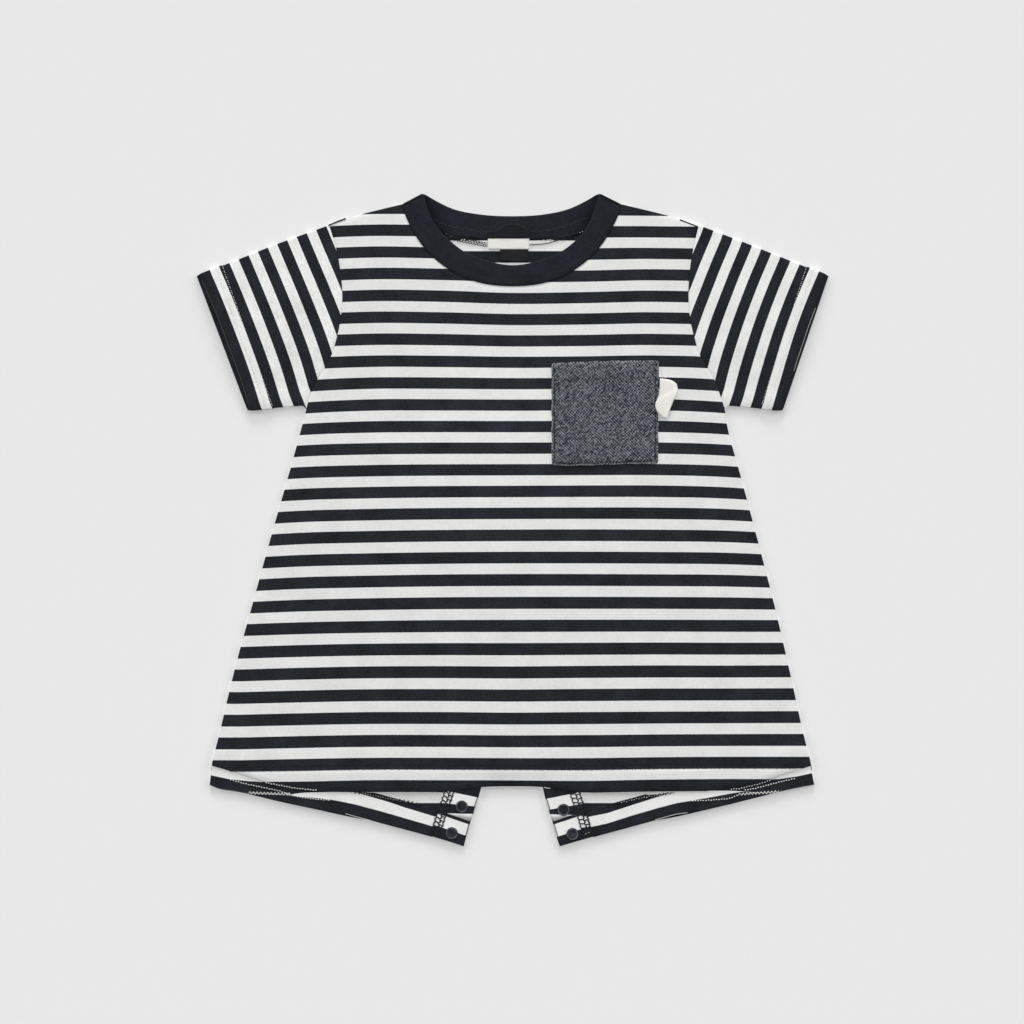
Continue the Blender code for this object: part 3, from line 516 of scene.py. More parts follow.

# Sewing listed one row at a time, with the columns of Sewn. The sizes of stitches are their length, the gap
# and how far they wander, those of loops and overlock the width and the pitch, that of a run its lift
DOTS = (0.7, 1.15, 0.15)
LOOPS = (1.6, 2.5)
HAND_ROWS = [
    ("hem_dots_left", [(-172.6, -183.9), (-163.2, -185.8), (-152.3, -187.8), (-136.9, -189.3)],
     "top", "stitches", DOTS, "white", 0.42),
    ("hem_dots_right", [(180.2, -182.3), (171.0, -185.3), (165.1, -186.5), (159.2, -188.2),
     (151.4, -188.6)],
     "top", "stitches", DOTS, "white", 0.42),
    ("leg_dots_left", [(-197.4, -181.9), (-185.9, -185.1), (-172.6, -187.8), (-163.2, -189.8),
     (-157.9, -191.7), (-148.8, -194.2), (-137.6, -195.6), (-127.1, -196.3)],
     "facing", "stitches", DOTS, "white", 0.42),
    ("leg_dots_right", [(197.3, -181.2), (188.7, -183.1), (180.9, -185.1), (169.3, -188.2),
     (162.3, -189.3)],
     "facing", "stitches", DOTS, "white", 0.42),
    ("leg_dots_right_low", [(125.6, -196.8), (138.2, -196.3), (151.4, -195.2), (157.6, -192.8)],
     "facing", "stitches", DOTS, "white", 0.42),
    ("leg_hatch_left", [(-180.0, -184.9), (-170.0, -186.6), (-160.0, -188.2), (-150.0, -189.4)],
     "facing", "stitches", (0.5, 0.7, 0.6), "dim", 0.24),
    ("leg_hatch_left_low", [(-153.0, -193.6), (-146.0, -194.7), (-138.0, -195.0)],
     "facing", "stitches", (0.5, 0.7, 0.5), "dim", 0.24),
    ("leg_hatch_right", [(159.0, -188.9), (166.0, -187.3), (176.0, -185.2)],
     "facing", "stitches", (0.5, 0.7, 0.5), "dim", 0.24),
    ("leg_hatch_right_low", [(136.0, -195.5), (146.0, -194.4), (154.0, -193.1), (160.0, -191.7)],
     "facing", "stitches", (0.5, 0.7, 0.6), "dim", 0.24),
    ("leg_loops_left", [(-185.0, -191.1), (-170.0, -191.7), (-153.9, -192.1)],
     "facing", "loops", LOOPS, "white", 0.38),
    ("leg_loops_right", [(157.6, -192.4), (165.4, -191.7), (173.2, -191.3), (180.9, -190.8),
     (186.4, -190.3)],
     "facing", "loops", LOOPS, "white", 0.38),
    ("raw_edge_left", [(-113.0, -190.4), (-101.6, -192.0), (-87.6, -195.0), (-71.8, -197.7),
     (-62.0, -200.4)],
     "facing", "loops", (1.6, 3.0), "black", 0.40),
    ("raw_edge_left_pale", [(-110.3, -190.7), (-101.6, -192.1), (-87.6, -195.1), (-74.0, -197.4)],
     "facing", "stitches", (0.6, 1.2, 0.3), "white", 0.30),
    ("raw_edge_right", [(66.0, -200.4), (75.2, -198.0), (83.9, -195.9), (96.9, -193.3),
     (113.7, -190.9)],
     "facing", "loops", (1.6, 3.0), "black", 0.40),
    ("raw_edge_right_pale", [(76.0, -198.0), (83.9, -196.0), (96.9, -193.4), (111.0, -191.3)],
     "facing", "stitches", (0.6, 1.2, 0.3), "white", 0.30),
    ("placket_overlock_left", [(-44.0, -189.8), (-50.2, -207.8), (-52.2, -214.4), (-54.0, -222.2)],
     "facing", "overlock", (6.0, 3.1), "black", 0.46),
    ("placket_chain_left", [(-46.5, -198.0), (-50.2, -207.8), (-52.2, -214.4), (-53.8, -221.4)],
     "facing", "loops", (2.6, 3.1), "dim", 0.2),
    ("placket_overlock_right", [(43.1, -190.0), (48.9, -207.5), (51.2, -215.5), (52.9, -222.2)],
     "facing", "overlock", (6.4, 3.1), "black", 0.46),
    ("placket_chain_right", [(45.8, -198.0), (48.9, -207.5), (51.2, -215.5), (52.7, -221.2)],
     "facing", "loops", (2.4, 3.1), "dim", 0.2),
    ("placket_mesh_right", [(44.6, -199.8), (46.6, -206.4)], "facing", "loops", (8.0, 1.3), "dim", 0.3),
    # painted highlight: white specks on the dark overlock stand in for glints on its threads
    ("placket_dots_right", [(51.0, -220.0), (54.2, -218.7)],
     "facing", "stitches", (0.5, 1.8, 0.0), "white", 0.3),
    ("leg_rim_left", [(-117.0, -205.7), (-111.2, -207.4), (-99.8, -210.4)],
     "facing", "run", (0.0,), "white", 0.16),
    ("leg_rim_right", [(99.7, -210.0), (114.4, -206.1), (122.6, -205.0)],
     "facing", "run", (0.0,), "white", 0.16),
    ("placket_edge_left", [(-22.4, -188.0), (-23.9, -192.4), (-27.4, -203.0), (-29.9, -211.0),
     (-33.2, -222.6)],
     "facing", "run", (-0.05,), "black", 0.32),
    ("placket_edge_right", [(21.9, -187.2), (22.9, -192.4), (26.1, -203.0), (28.5, -211.0),
     (31.9, -222.8)],
     "facing", "run", (-0.05,), "black", 0.32),
    ("neck_stitching_back", [(-54.8, 209.9), (-50.0, 207.4), (-45.4, 205.7), (-35.6, 203.5),
     (-26.0, 202.1), (-18.6, 201.3), (0.0, 200.6), (12.2, 201.6), (22.7, 202.2), (34.1, 204.1),
     (43.7, 207.6), (52.4, 211.4)],
     "band", "stitches", (0.6, 1.5, 0.45), "dim", 0.26),
    ("neck_overlock_left", [(-48.0, 199.8), (-42.6, 197.2), (-34.7, 195.4), (-26.3, 193.8),
     (-17.6, 192.2)],
     "inside", "overlock", (2.3, 2.1), "black", 0.24),
    ("neck_overlock_left_pale", [(-36.0, 195.7), (-26.3, 193.8), (-17.8, 192.6)],
     "inside", "stitches", (0.9, 1.0, 0.7), "white", 0.34),
    ("neck_overlock_right", [(11.6, 192.2), (20.0, 192.6), (26.0, 193.6), (32.0, 195.4), (42.0, 198.4)],
     "inside", "run", (0.1,), "black", 0.3),
    ("neck_overlock_right_pale", [(11.6, 193.8), (22.7, 194.9), (29.0, 195.8)],
     "inside", "stitches", (0.8, 0.8, 0.5), "white", 0.4),
    ("neck_row_right", [(28.0, 196.2), (38.0, 198.6), (46.5, 200.9), (49.4, 201.8)],
     "band", "stitches", (0.8, 0.8, 0.4), "dim", 0.22),
    ("neck_dots_right", [(46.9, 200.7), (49.5, 201.5)],
     "band", "stitches", (0.5, 1.4, 0.1), "white", 0.26),
    ("neck_dots_left", [(-46.6, 200.1), (-42.5, 197.8)],
     "band", "stitches", (0.9, 2.6, 0.0), "grey", 0.22),
    ("crotch_tack_right", [(21.9, -187.2), (24.0, -187.8), (26.4, -188.0)],
     "facing", "run", (0.3,), "white", 0.3),
    ("label_stitching", [(-12.0, 201.2), (-9.2, 202.9), (-6.4, 205.1), (-3.5, 206.1), (-0.1, 206.4),
     (4.4, 205.8), (8.0, 204.2), (10.6, 202.0)],
     "label", "stitches", (0.6, 1.4, 0.25), "dim", 0.22),
    ("hem_show_left", [(-9.0, -178.9), (-2.0, -178.6), (5.2, -178.9)],
     "top", "stitches", (0.7, 1.2, 0.2), "grey", 0.14),
    ("hem_show_right", [(90.4, -179.2), (96.0, -178.7), (104.4, -178.1), (112.0, -177.6),
     (125.0, -176.7), (140.0, -175.8), (158.0, -175.1)],
     "top", "stitches", (0.6, 1.5, 0.25), "grey", 0.14),
    ("shoulder_seam_left", [(-129.0, 205.6), (-123.0, 208.2), (-116.6, 210.6)],
     "inside", "run", (0.7,), "black", 0.5),
    ("shoulder_seam_right", [(117.0, 209.8), (123.0, 207.4), (129.8, 204.6)],
     "inside", "run", (0.7,), "black", 0.45),
]


# Curves in plan


def smooth(points, steps):
    """A smooth curve through the points, as steps + 1 places evenly spaced along it."""
    knots = np.asarray(points, float)
    reach = lengths(knots)
    slopes = np.gradient(knots, reach, axis=0)
    places = np.linspace(0, reach[-1], CURVE_SAMPLES * len(knots))
    piece = np.clip(np.searchsorted(reach, places, side="right") - 1, 0, len(knots) - 2)
    span = (reach[piece + 1] - reach[piece])[:, None]
    s = (places - reach[piece])[:, None] / span
    start, end = knots[piece], knots[piece + 1]
    curve = start * (1 + 2 * s) * (1 - s) ** 2 + end * s**2 * (3 - 2 * s)
    curve += span * (slopes[piece] * s * (1 - s) ** 2 - slopes[piece + 1] * s**2 * (1 - s))
    return evenly(curve, steps)


def lengths(line):
    """How far along the line each of its points lies."""
    return np.concatenate([[0], np.cumsum(np.linalg.norm(np.diff(line, axis=0), axis=1))])


def evenly(line, steps):
    """The line again, as steps + 1 places evenly spaced along it."""
    return at_shares(line, np.linspace(0, 1, steps + 1))


def at_places(line, places):
    """Points of a line at distances along it."""
    line = np.asarray(line, float)
    reach = lengths(line)
    return np.stack([np.interp(places, reach, line[:, k]) for k in range(line.shape[1])], axis=1)


def at_shares(line, shares):
    """Points of a line at shares of its length."""
    return at_places(line, shares * lengths(np.asarray(line, float))[-1])


def joined(*lines):
    """Lines that follow each other, as one, without doubling the points where they meet."""
    return np.concatenate([lines[0]] + [line[1:] for line in lines[1:]])


def soft_interp(x, stations, values):
    """A smooth curve through values at stations, read at x."""
    stations, values = np.asarray(stations, float), np.asarray(values, float)
    slopes = np.gradient(values, stations)
    piece = np.clip(np.searchsorted(stations, x) - 1, 0, len(stations) - 2)
    span = stations[piece + 1] - stations[piece]
    s = np.clip((x - stations[piece]) / span, 0, 1)
    rise = values[piece] * (1 + 2 * s) * (1 - s) ** 2 + values[piece + 1] * s**2 * (3 - 2 * s)
    return rise + span * (slopes[piece] * s * (1 - s) ** 2 - slopes[piece + 1] * s**2 * (1 - s))


def half_to_side(spots, side):
    """A half outline on one side of the garment: -1 for left, 1 for right."""
    return [(side * spot.across, spot.height) for spot in spots]


def side_column(rows, side):
    """A table's left or right column, as points from its first row on."""
    return [(row.left if side < 0 else row.right, row.height) for row in rows]


SEAM_CURVES = {side: smooth(side_column(SIDE_SEAMS, side)[::-1], EDGE_SAMPLES) for side in (-1, 1)}


def side_seam_at(height, side):
    """Places on a side seam at heights."""
    seam = SEAM_CURVES[side]
    return np.stack([np.interp(height, seam[:, 1], seam[:, 0]), height], axis=-1)


def crowded(steps):
    """Shares from 0 to 1 that crowd together towards 0."""
    return np.linspace(0, 1, steps + 1) ** BORDER_POWER


def armhole(side):
    """An armhole seam, from the underarm up to the tip of the shoulder."""
    return at_shares(smooth(side_column(ARMHOLES, side), EDGE_SAMPLES), 1 - crowded(ARMHOLE_STEPS)[::-1])


def neck_side(rows, kind, side):
    """One side of a neckband's seamed or free edge, from the shoulder down."""
    word = "_left" if side < 0 else "_right"
    return [(getattr(row, kind + word), getattr(row, kind + "_y")) for row in rows]


def shoulder(side):
    """A shoulder line, from its tip to the neckband."""
    tip = side_column(ARMHOLES, side)[-1]
    neck = neck_side(NECK_FRONT, "seam", side)[0]
    line = smooth([tip, (side * SHOULDER_MIDDLE.across, SHOULDER_MIDDLE.height), neck], EDGE_SAMPLES)
    return at_shares(line, crowded(SHOULDER_STEPS))


def neck_line(rows, kind, steps):
    """A neckband's seamed or free edge, from the left shoulder to the right one."""
    return smooth(neck_side(rows, kind, -1) + neck_side(rows, kind, 1)[-2::-1], steps)


def upper_edge(rows):
    """A panel's top: left shoulder, neckline, right shoulder."""
    return joined(shoulder(-1), neck_line(rows, "seam", NECK_STEPS), shoulder(1)[::-1])


def patch(west, east, south, north, up, over):
    """Plan points of a sheet spanned between four edges. up and over place its rows and columns."""
    v = up[:, None, None]
    u = over[None, :, None]
    sides = (1 - u) * west[:, None] + u * east[:, None]
    ends = (1 - v) * south[None] + v * north[None]
    low_corners = (1 - u) * south[0] + u * south[-1]
    high_corners = (1 - u) * north[0] + u * north[-1]
    return sides + ends - (1 - v) * low_corners - v * high_corners


def share(values):
    """Values scaled to run from 0 to 1."""
    return (values - values[0]) / (values[-1] - values[0])


def unit(towards, along):
    """The unit vector at right angles to along, on the side that towards points to."""
    normal = np.array([-along[1], along[0]])
    normal /= np.linalg.norm(normal)
    return normal if normal @ np.array(towards) > 0 else -normal


def beside(line):
    """Unit vectors to the left of a line in plan, one at each of its points."""
    way = np.gradient(line, axis=0)
    way /= np.linalg.norm(way, axis=1)[:, None]
    return np.stack([-way[:, 1], way[:, 0]], axis=1)


def offset_line(line, distance):
    """A line moved to its left by a distance."""
    return line + distance * beside(line)


# Heights of the cloth


def closed_edges():
    """The lines where front and back are joined, as pairs of ends."""
    ends = []
    for side in (-1, 1):
        seam = side_column(SIDE_SEAMS, side)[::-1]
        lower = seam + side_column(SLEEVE_UNDERSIDE, side)[::-1]
        tip = side_column(ARMHOLES, side)[-1]
        neck = neck_side(NECK_FRONT, "seam", side)[0]
        bow = (side * SHOULDER_MIDDLE.across, SHOULDER_MIDDLE.height)
        peak = neck_side(NECK_FRONT, "free", side)[0]
        upper = [*side_column(SLEEVE_TOP, side), tip, bow, neck, peak]
        for line in (lower, upper):
            ends += list(zip(line[:-1], line[1:]))
    return np.array(ends, float)


CLOSED_EDGES = closed_edges()
SIDE_EDGES = np.array(
    [pair for pair in CLOSED_EDGES if pair[0][1] < ARMHOLES[1].height and abs(pair[1][0]) > 140]
)


def edge_distance(points, edges=CLOSED_EDGES):
    """How far each plan point lies from the nearest closed edge."""
    start = edges[:, 0]
    along = edges[:, 1] - start
    offset = points[..., None, :] - start
    t = np.clip((offset * along).sum(-1) / (along**2).sum(-1), 0, 1)
    return np.linalg.norm(offset - t[..., None] * along, axis=-1).min(-1)


def eased(x):
    """A soft step from 0 to 1."""
    x = np.clip(x, 0, 1)
    return x * x * (3 - 2 * x)


def dip(distance, run):
    """1 at a line, falling softly to 0 over a run."""
    return np.exp(-((distance / run) ** 2))


def fold_rise(points, folds):
    """The height that soft ridges and troughs add."""
    rise = np.zeros(points.shape[:-1])
    for fold in folds:
        turn = math.radians(fold.turn)
        offset = points - (fold.across, fold.height)
        along = offset[..., 0] * math.cos(turn) + offset[..., 1] * math.sin(turn)
        across = offset[..., 1] * math.cos(turn) - offset[..., 0] * math.sin(turn)
        rise += fold.rise * np.exp(-((2 * along / fold.length) ** 2) - (2 * across / fold.width) ** 2)
    return rise


def resting_under(points):
    """Height of the upper layer's underside before its hem is pressed flat."""
    distance = edge_distance(points)
    nearness = 1 - np.clip(distance / AIR_REACH, 0, 1)
    room = FACING_ROOM * eased((HEM_ROOM_TOP - points[..., 1]) / HEM_ROOM_RUN)
    lift = ((AIR * (1 - nearness**2)) ** 3 + room**3) ** (1 / 3)
    folds = fold_rise(points, FOLDS) + fold_rise(points, CREASES)
    inward = edge_distance(points, SIDE_EDGES)
    ridge = SEAM_RIDGE * (1 - eased((inward - SEAM_RIDGE_WIDTH) / SEAM_RIDGE_RUN))
    return ON_BACK + lift + folds * (1 - nearness) ** FOLD_FADE + ridge * eased(inward / SEAM_RIDGE_START)


def hem_height(across):
    """Height of the front hem's edge at a place across the garment."""
    left_end, right_end = (tuple(side_seam_at(np.array(FRONT_HEM_END), side)) for side in (-1, 1))
    left = [left_end] + half_to_side(FRONT_HEM, -1)[::-1]
    hem = smooth(left + half_to_side(FRONT_HEM, 1)[1:] + [right_end], EDGE_SAMPLES)
    return np.interp(across, hem[:, 0], hem[:, 1])


def front_under(points):
    """Height of the upper layer's underside, over the back, the sleeves' lower layer or the facings."""
    under = resting_under(points)
    above = points[..., 1] - hem_height(points[..., 0])
    bare = 1 - eased((np.abs(points[..., 0]) - BARE_FROM) / BARE_RUN)
    rest = FACING_TOP + HEM_REST - HEM_SAG * bare
    return under + np.minimum(rest - under, 0) * (1 - eased(above / PRESS_RUN))


def hemmed_wall(past_stitch, from_edge):
    """Thickness of a layer with a turned-up hem, pressed thin at its very edge."""
    hem = HEM_EXTRA * (1 - eased((past_stitch + HEM_STEP_LEAD) / HEM_STEP_RUN))
    thickening = eased(from_edge / HEM_THIN_RUN + HEM_THIN_SHARE)
    return HEM_EDGE_WALL + (WALL + hem - HEM_EDGE_WALL) * thickening


def front_wall(points):
    """The front's thickness."""
    across, height = points[..., 0], points[..., 1]
    return hemmed_wall(height - hem_stitch_height(across), height - hem_height(across))


def front_top(points):
    """Height of the front's face, with the step and groove of its hem."""
    groove = HEM_GROOVE * dip(points[..., 1] - hem_stitch_height(points[..., 0]), HEM_GROOVE_RUN)
    return front_under(points) + front_wall(points) - groove


# Stripes


def course_number(points, table):
    """Which course each plan point lies in, counted down the garment with its fraction."""
    across = np.clip(points[..., 0], COURSE_STATIONS[0], COURSE_STATIONS[-1])
    heights = [soft_interp(across, COURSE_STATIONS, row) for _, row in table]
    number = np.full(points.shape[:-1], float(table[0][0]))
    for (upper, _), (lower, _), high, low in zip(table[:-1], table[1:], heights[:-1], heights[1:]):
        part = np.clip((high - points[..., 1]) / (high - low), 0, 1)
        number += part * (lower - upper)
    return number


def hem_stitch_height(across):
    """Height of the front hem's stitching, on the lower edge of its last dark course but one."""
    table = dict(FRONT_COURSES)
    across = np.clip(across, COURSE_STATIONS[0], COURSE_STATIONS[-1])
    high, low = (soft_interp(across, COURSE_STATIONS, table[number]) for number in (21, 22))
    return high - DARK_SHARE * (high - low)


def sleeve_course(points, side):
    """The course of each plan point on a sleeve, counted from the cuff."""
    top, bottom = (np.array(spot) for spot in CUFF_LINES[side])
    inward = unit((-side, 0), bottom - top)
    depth = (points - top) @ inward
    along = ((points - top) @ (bottom - top)) / ((bottom - top) @ (bottom - top))
    dark, pitch = (soft_interp(along, CUFF_STATIONS, table[side]) for table in (CUFF_DARK, SLEEVE_PITCH))
    return DARK_SHARE + (depth - dark) / pitch, depth


def cuff_inset(along, side):
    """How far the upper layer of a cuff lies back from the lower one."""
    closing = eased(along / CUFF_CLOSE) * eased((1 - along) / CUFF_CLOSE)
    return soft_interp(along, CUFF_STATIONS, CUFF_INSET[side]) * closing


# Meshes


def make_piece(name, points, faces, material, marks=None):
    """An object from points in millimetres, with values marked on its points for the finish."""
    mesh = bpy.data.meshes.new(name)
    mesh.from_pydata((np.asarray(points) * MM).tolist(), [], faces)
    for key, values in (marks or {}).items():
        values = np.asarray(values, float)
        kind = "FLOAT" if values.ndim == 1 else "FLOAT_VECTOR"
        layer = mesh.attributes.new(key, kind, "POINT")
        layer.data.foreach_set("value" if values.ndim == 1 else "vector", values.ravel())
    mesh.materials.append(material)
    mesh.shade_smooth()
    made = bpy.data.objects.new(name, mesh)
    bpy.context.scene.collection.objects.link(made)
    return made


def net_faces(rows, columns, ring=False, flip=False):
    """Quads of a net of rows and columns. In a ring the last column meets the first."""
    spans = columns if ring else columns - 1
    row, column = np.meshgrid(np.arange(rows - 1), np.arange(spans), indexing="ij")
    near, far = row * columns + column, row * columns + (column + 1) % columns
    quads = np.stack([near, far, far + columns, near + columns], axis=-1).reshape(-1, 4)
    return quads[:, ::-1] if flip else quads


def rim_faces(rim, middle, count):
    """Quads that close a rim from the face through the rolled edge to the underside."""
    near, far = np.array(rim), np.roll(rim, -1)
    mid, mid_far = middle + np.arange(len(rim)), middle + np.roll(np.arange(len(rim)), -1)
    face = np.stack([far, near, mid, mid_far], axis=-1)
    under = np.stack([mid_far, mid, near + count, far + count], axis=-1)
    return np.concatenate([face, under])


def spread_marks(marks, count, *rims):
    """Marks of a face, repeated for the underside and for the rims."""
    spread = {}
    for key, values in marks.items():
        flat = values.reshape(count, -1)
        flat = np.concatenate([flat, flat] + [flat[rim] for rim in rims])
        spread[key] = flat[:, 0] if flat.shape[1] == 1 else flat
    return spread


def cloth_shell(name, plan, top, wall, material, marks):
    """A thin closed shell of cloth over a plan, with rolled edges."""
    rows, columns = plan.shape[:2]
    count = rows * columns
    face = np.dstack([plan, top]).reshape(-1, 3)
    under = np.dstack([plan, top - wall]).reshape(-1, 3)
    index = np.arange(count).reshape(rows, columns)
    rim = np.concatenate([index[0, :-1], index[:-1, -1], index[-1, :0:-1], index[:0:-1, 0]])
    ahead = face[np.roll(rim, -1), :2] - face[np.roll(rim, 1), :2]
    ahead /= np.linalg.norm(ahead, axis=1)[:, None] + 1e-9
    outward = np.stack([ahead[:, 1], -ahead[:, 0], 0 * ahead[:, 0]], axis=1)
    thick = (face[rim, 2] - under[rim, 2])[:, None]
    middle = (face[rim] + under[rim]) / 2 + outward * thick * ROLL
    points = np.concatenate([face, under, middle])
    upper, lower = net_faces(rows, columns), net_faces(rows, columns, flip=True) + count
    faces = np.concatenate([upper, lower, rim_faces(rim, 2 * count, count)])
    return make_piece(name, points, faces.tolist(), material, spread_marks(marks, count, rim))


def cloth_tube(name, outer, inner, material, marks):
    """A closed shell of cloth round a flattened tube, from rings of points."""
    rows, columns = outer.shape[:2]
    count = rows * columns
    points = [outer.reshape(-1, 3), inner.reshape(-1, 3)]
    faces = [net_faces(rows, columns, ring=True), net_faces(rows, columns, ring=True, flip=True) + count]
    made = 2 * count
    rims = []
    for row, neighbour in ((0, 1), (rows - 1, rows - 2)):
        rim = row * columns + np.arange(columns)
        away = outer[row] - outer[neighbour]
        away[:, 2] = 0
        away /= np.linalg.norm(away, axis=1)[:, None] + 1e-9
        thick = np.linalg.norm(outer[row] - inner[row], axis=1)[:, None]
        points.append((outer[row] + inner[row]) / 2 + away * thick * ROLL)
        quads = rim_faces(rim, made, count)
        faces.append(quads if row == 0 else quads[:, ::-1])
        rims.append(rim)
        made += columns
    spread = spread_marks(marks, count, *rims)
    points, faces = np.concatenate(points), np.concatenate(faces).tolist()
    return turned_out(make_piece(name, points, faces, material, spread))


def turned_out(piece):
    """The piece with its faces pointing out."""
    mesh = piece.data
    points = np.array([v.co for v in mesh.vertices])
    mesh.calc_loop_triangles()
    tris = np.array([t.vertices for t in mesh.loop_triangles])
    a, b, c = (points[tris[:, k]] for k in range(3))
    if (np.cross(a, b) * c).sum() < 0:
        mesh.flip_normals()
    return piece


def painted_body_light(plan):
    """Painted light on the pale and the dark yarns: lightest on the chest, darker towards the hem and the
    sides.
    """
    wide, high = CHEST_REACH
    chest = np.exp(-((plan[..., 0] / wide) ** 2) - ((plan[..., 1] - CHEST_HEIGHT) / high) ** 2)
    return np.stack([BODY_PALE + CHEST_PALE * chest, BODY_DARK + CHEST_DARK * chest], axis=-1)


def cloth_marks(plan, stripe, tone=None):
    """Marks of a striped cloth: its course, its place in millimetres of cloth, and its tones, which carry
    painted light on the body where none are given.
    """
    tones = np.moveaxis(painted_body_light(plan), -1, 0) if tone is None else tone
    pale, dark = (0 * stripe + part for part in tones)
    place_on = np.dstack([plan[..., 0], -stripe * COURSE_PITCH, 0 * stripe])
    return {"course": stripe, "cloth": place_on, "tone": np.dstack([pale, dark, 0 * stripe])}


# Nodes


def put(tree, kind, inputs=None, **settings):
    """A node with its settings, and with its inputs as values or other nodes' outputs."""
    node = tree.nodes.new(kind)
    for key, value in settings.items():
        setattr(node, key, value)
    for key, value in (inputs or {}).items():
        if isinstance(value, bpy.types.NodeSocket):
            tree.links.new(value, node.inputs[key])
        else:
            node.inputs[key].default_value = value
    return node


def calc(tree, operation, *values):
    """The result of a Math node."""
    return put(tree, "ShaderNodeMath", dict(enumerate(values)), operation=operation).outputs[0]


def blended(tree, amount, first, second):
    """A colour between two colours."""
    node = put(tree, "ShaderNodeMix", data_type="RGBA")
    for key, value in (("Factor", amount), ("A", first), ("B", second)):
        socket = next(s for s in node.inputs if s.name == key and s.enabled)
        if isinstance(value, bpy.types.NodeSocket):
            tree.links.new(value, socket)
        else:
            socket.default_value = value if key == "Factor" else (*value, 1)
    return next(s for s in node.outputs if s.enabled)


def effect(name, inputs, outputs, build):
    """A shader node group with named inputs and outputs, filled in by build."""
    group = bpy.data.node_groups.new(name, "ShaderNodeTree")
    for key, kind, value in inputs:
        socket = group.interface.new_socket(key, in_out="INPUT", socket_type="NodeSocket" + kind)
        if value is not None:
            socket.default_value = value
    for key, kind in outputs:
        group.interface.new_socket(key, in_out="OUTPUT", socket_type="NodeSocket" + kind)
    given = group.nodes.new("NodeGroupInput").outputs
    result = group.nodes.new("NodeGroupOutput")
    for key, socket in build(group, given).items():
        group.links.new(socket, result.inputs[key])
    return group


def place(tree, group, **inputs):
    """A group placed in a material, with its own values."""
    given = {key.replace("_", " "): value for key, value in inputs.items()}
    return put(tree, "ShaderNodeGroup", given, node_tree=group).outputs


def parted(tree, vector):
    """The parts of a vector."""
    return put(tree, "ShaderNodeSeparateXYZ", {"Vector": vector}).outputs


def noise(tree, vector, scale, detail=2.0):
    """Noise between 0 and 1 over a place."""
    return put(tree, "ShaderNodeTexNoise", {"Vector": vector, "Scale": scale, "Detail": detail}).outputs[0]


def build_knit(tree, given):
    """Columns of stitches: each is two legs that lean together, one over the other."""
    x, y = parted(tree, given["Cloth"])[:2]
    column = calc(tree, "DIVIDE", x, given["Wale"])
    lean = calc(tree, "ABSOLUTE", calc(tree, "SUBTRACT", calc(tree, "FRACT", column), 0.5))
    row = calc(tree, "ADD", calc(tree, "DIVIDE", y, given["Course"]), calc(tree, "MULTIPLY", lean, 1.6))
    leg = calc(tree, "ABSOLUTE", calc(tree, "SINE", calc(tree, "MULTIPLY", column, 2 * math.pi)))
    loop = calc(tree, "ABSOLUTE", calc(tree, "SINE", calc(tree, "MULTIPLY", row, math.pi)))
    height = calc(tree, "MULTIPLY", calc(tree, "SQRT", leg), calc(tree, "MULTIPLY_ADD", loop, 0.45, 0.55))
    return {"Height": height, "Valley": calc(tree, "SUBTRACT", 1.0, height)}


def build_stripes(tree, given):
    """Dark courses, with an edge that follows the stitches."""
    ragged = calc(tree, "SUBTRACT", noise(tree, given["Cloth"], 1.4, 1.0), 0.5)
    moved = calc(tree, "MULTIPLY_ADD", ragged, given["Raggedness"], given["Number"])
    part = calc(tree, "FRACT", calc(tree, "ADD", moved, 100.0))
    end = calc(tree, "ADD", given["Share"], given["Softness"])
    edges = (
        put(tree, "ShaderNodeMapRange", {"Value": part, "From Min": low, "From Max": high}).outputs[0]
        for low, high in ((0.0, given["Softness"]), (end, given["Share"]))
    )
    return {"Dark": calc(tree, "MULTIPLY", *edges)}


def build_yarn(tree, given):
    """Uneven yarn: a fine speck of fibres, mottles, and slow clouds of tone over the cloth."""
    tone = 1.0
    for scale, detail, key in ((0.95, 1.0, "Fibres"), (0.32, 1.0, "Mottle"), (0.06, 3.0, "Cloud")):
        wave = calc(tree, "SUBTRACT", noise(tree, given["Cloth"], scale, detail), 0.5)
        tone = calc(tree, "MULTIPLY_ADD", wave, given[key], tone)
    return {"Tone": tone}


def build_weave(tree, given):
    """Close weave: pale weft dots between dark warp, in slanting rows that uneven yarn breaks."""
    x, y = parted(tree, given["Cloth"])[:2]
    u, v = (calc(tree, "DIVIDE", value, given["Thread"]) for value in (x, y))
    drift = calc(tree, "SUBTRACT", noise(tree, given["Cloth"], 0.24, 1.0), 0.5)
    pulled = calc(tree, "MULTIPLY", drift, given["Pull"])
    u, v = calc(tree, "ADD", u, pulled), calc(tree, "SUBTRACT", v, pulled)
    waves = (calc(tree, "SINE", calc(tree, "MULTIPLY", value, math.pi)) for value in (u, v))
    dots = calc(tree, "MULTIPLY", *waves)
    corner = {key: calc(tree, "FLOOR", value) for key, value in (("X", u), ("Y", v))}
    cell = put(tree, "ShaderNodeCombineXYZ", corner).outputs[0]
    chance = put(tree, "ShaderNodeTexWhiteNoise", {"Vector": cell}, noise_dimensions="3D").outputs[0]
    drawn = put(tree, "ShaderNodeCombineXYZ", {"X": calc(tree, "MULTIPLY", u, 0.15), "Y": v}).outputs[0]
    slub = calc(tree, "SUBTRACT", noise(tree, drawn, 1.0), 0.5)
    pale = calc(tree, "MULTIPLY_ADD", dots, given["Dots"], 0.30)
    pale = calc(tree, "MULTIPLY_ADD", calc(tree, "SUBTRACT", chance, 0.5), given["Melange"], pale)
    pale = calc(tree, "MULTIPLY_ADD", slub, given["Slub"], pale)
    return {"Pale": calc(tree, "MAXIMUM", pale, 0.0), "Height": calc(tree, "ABSOLUTE", dots)}


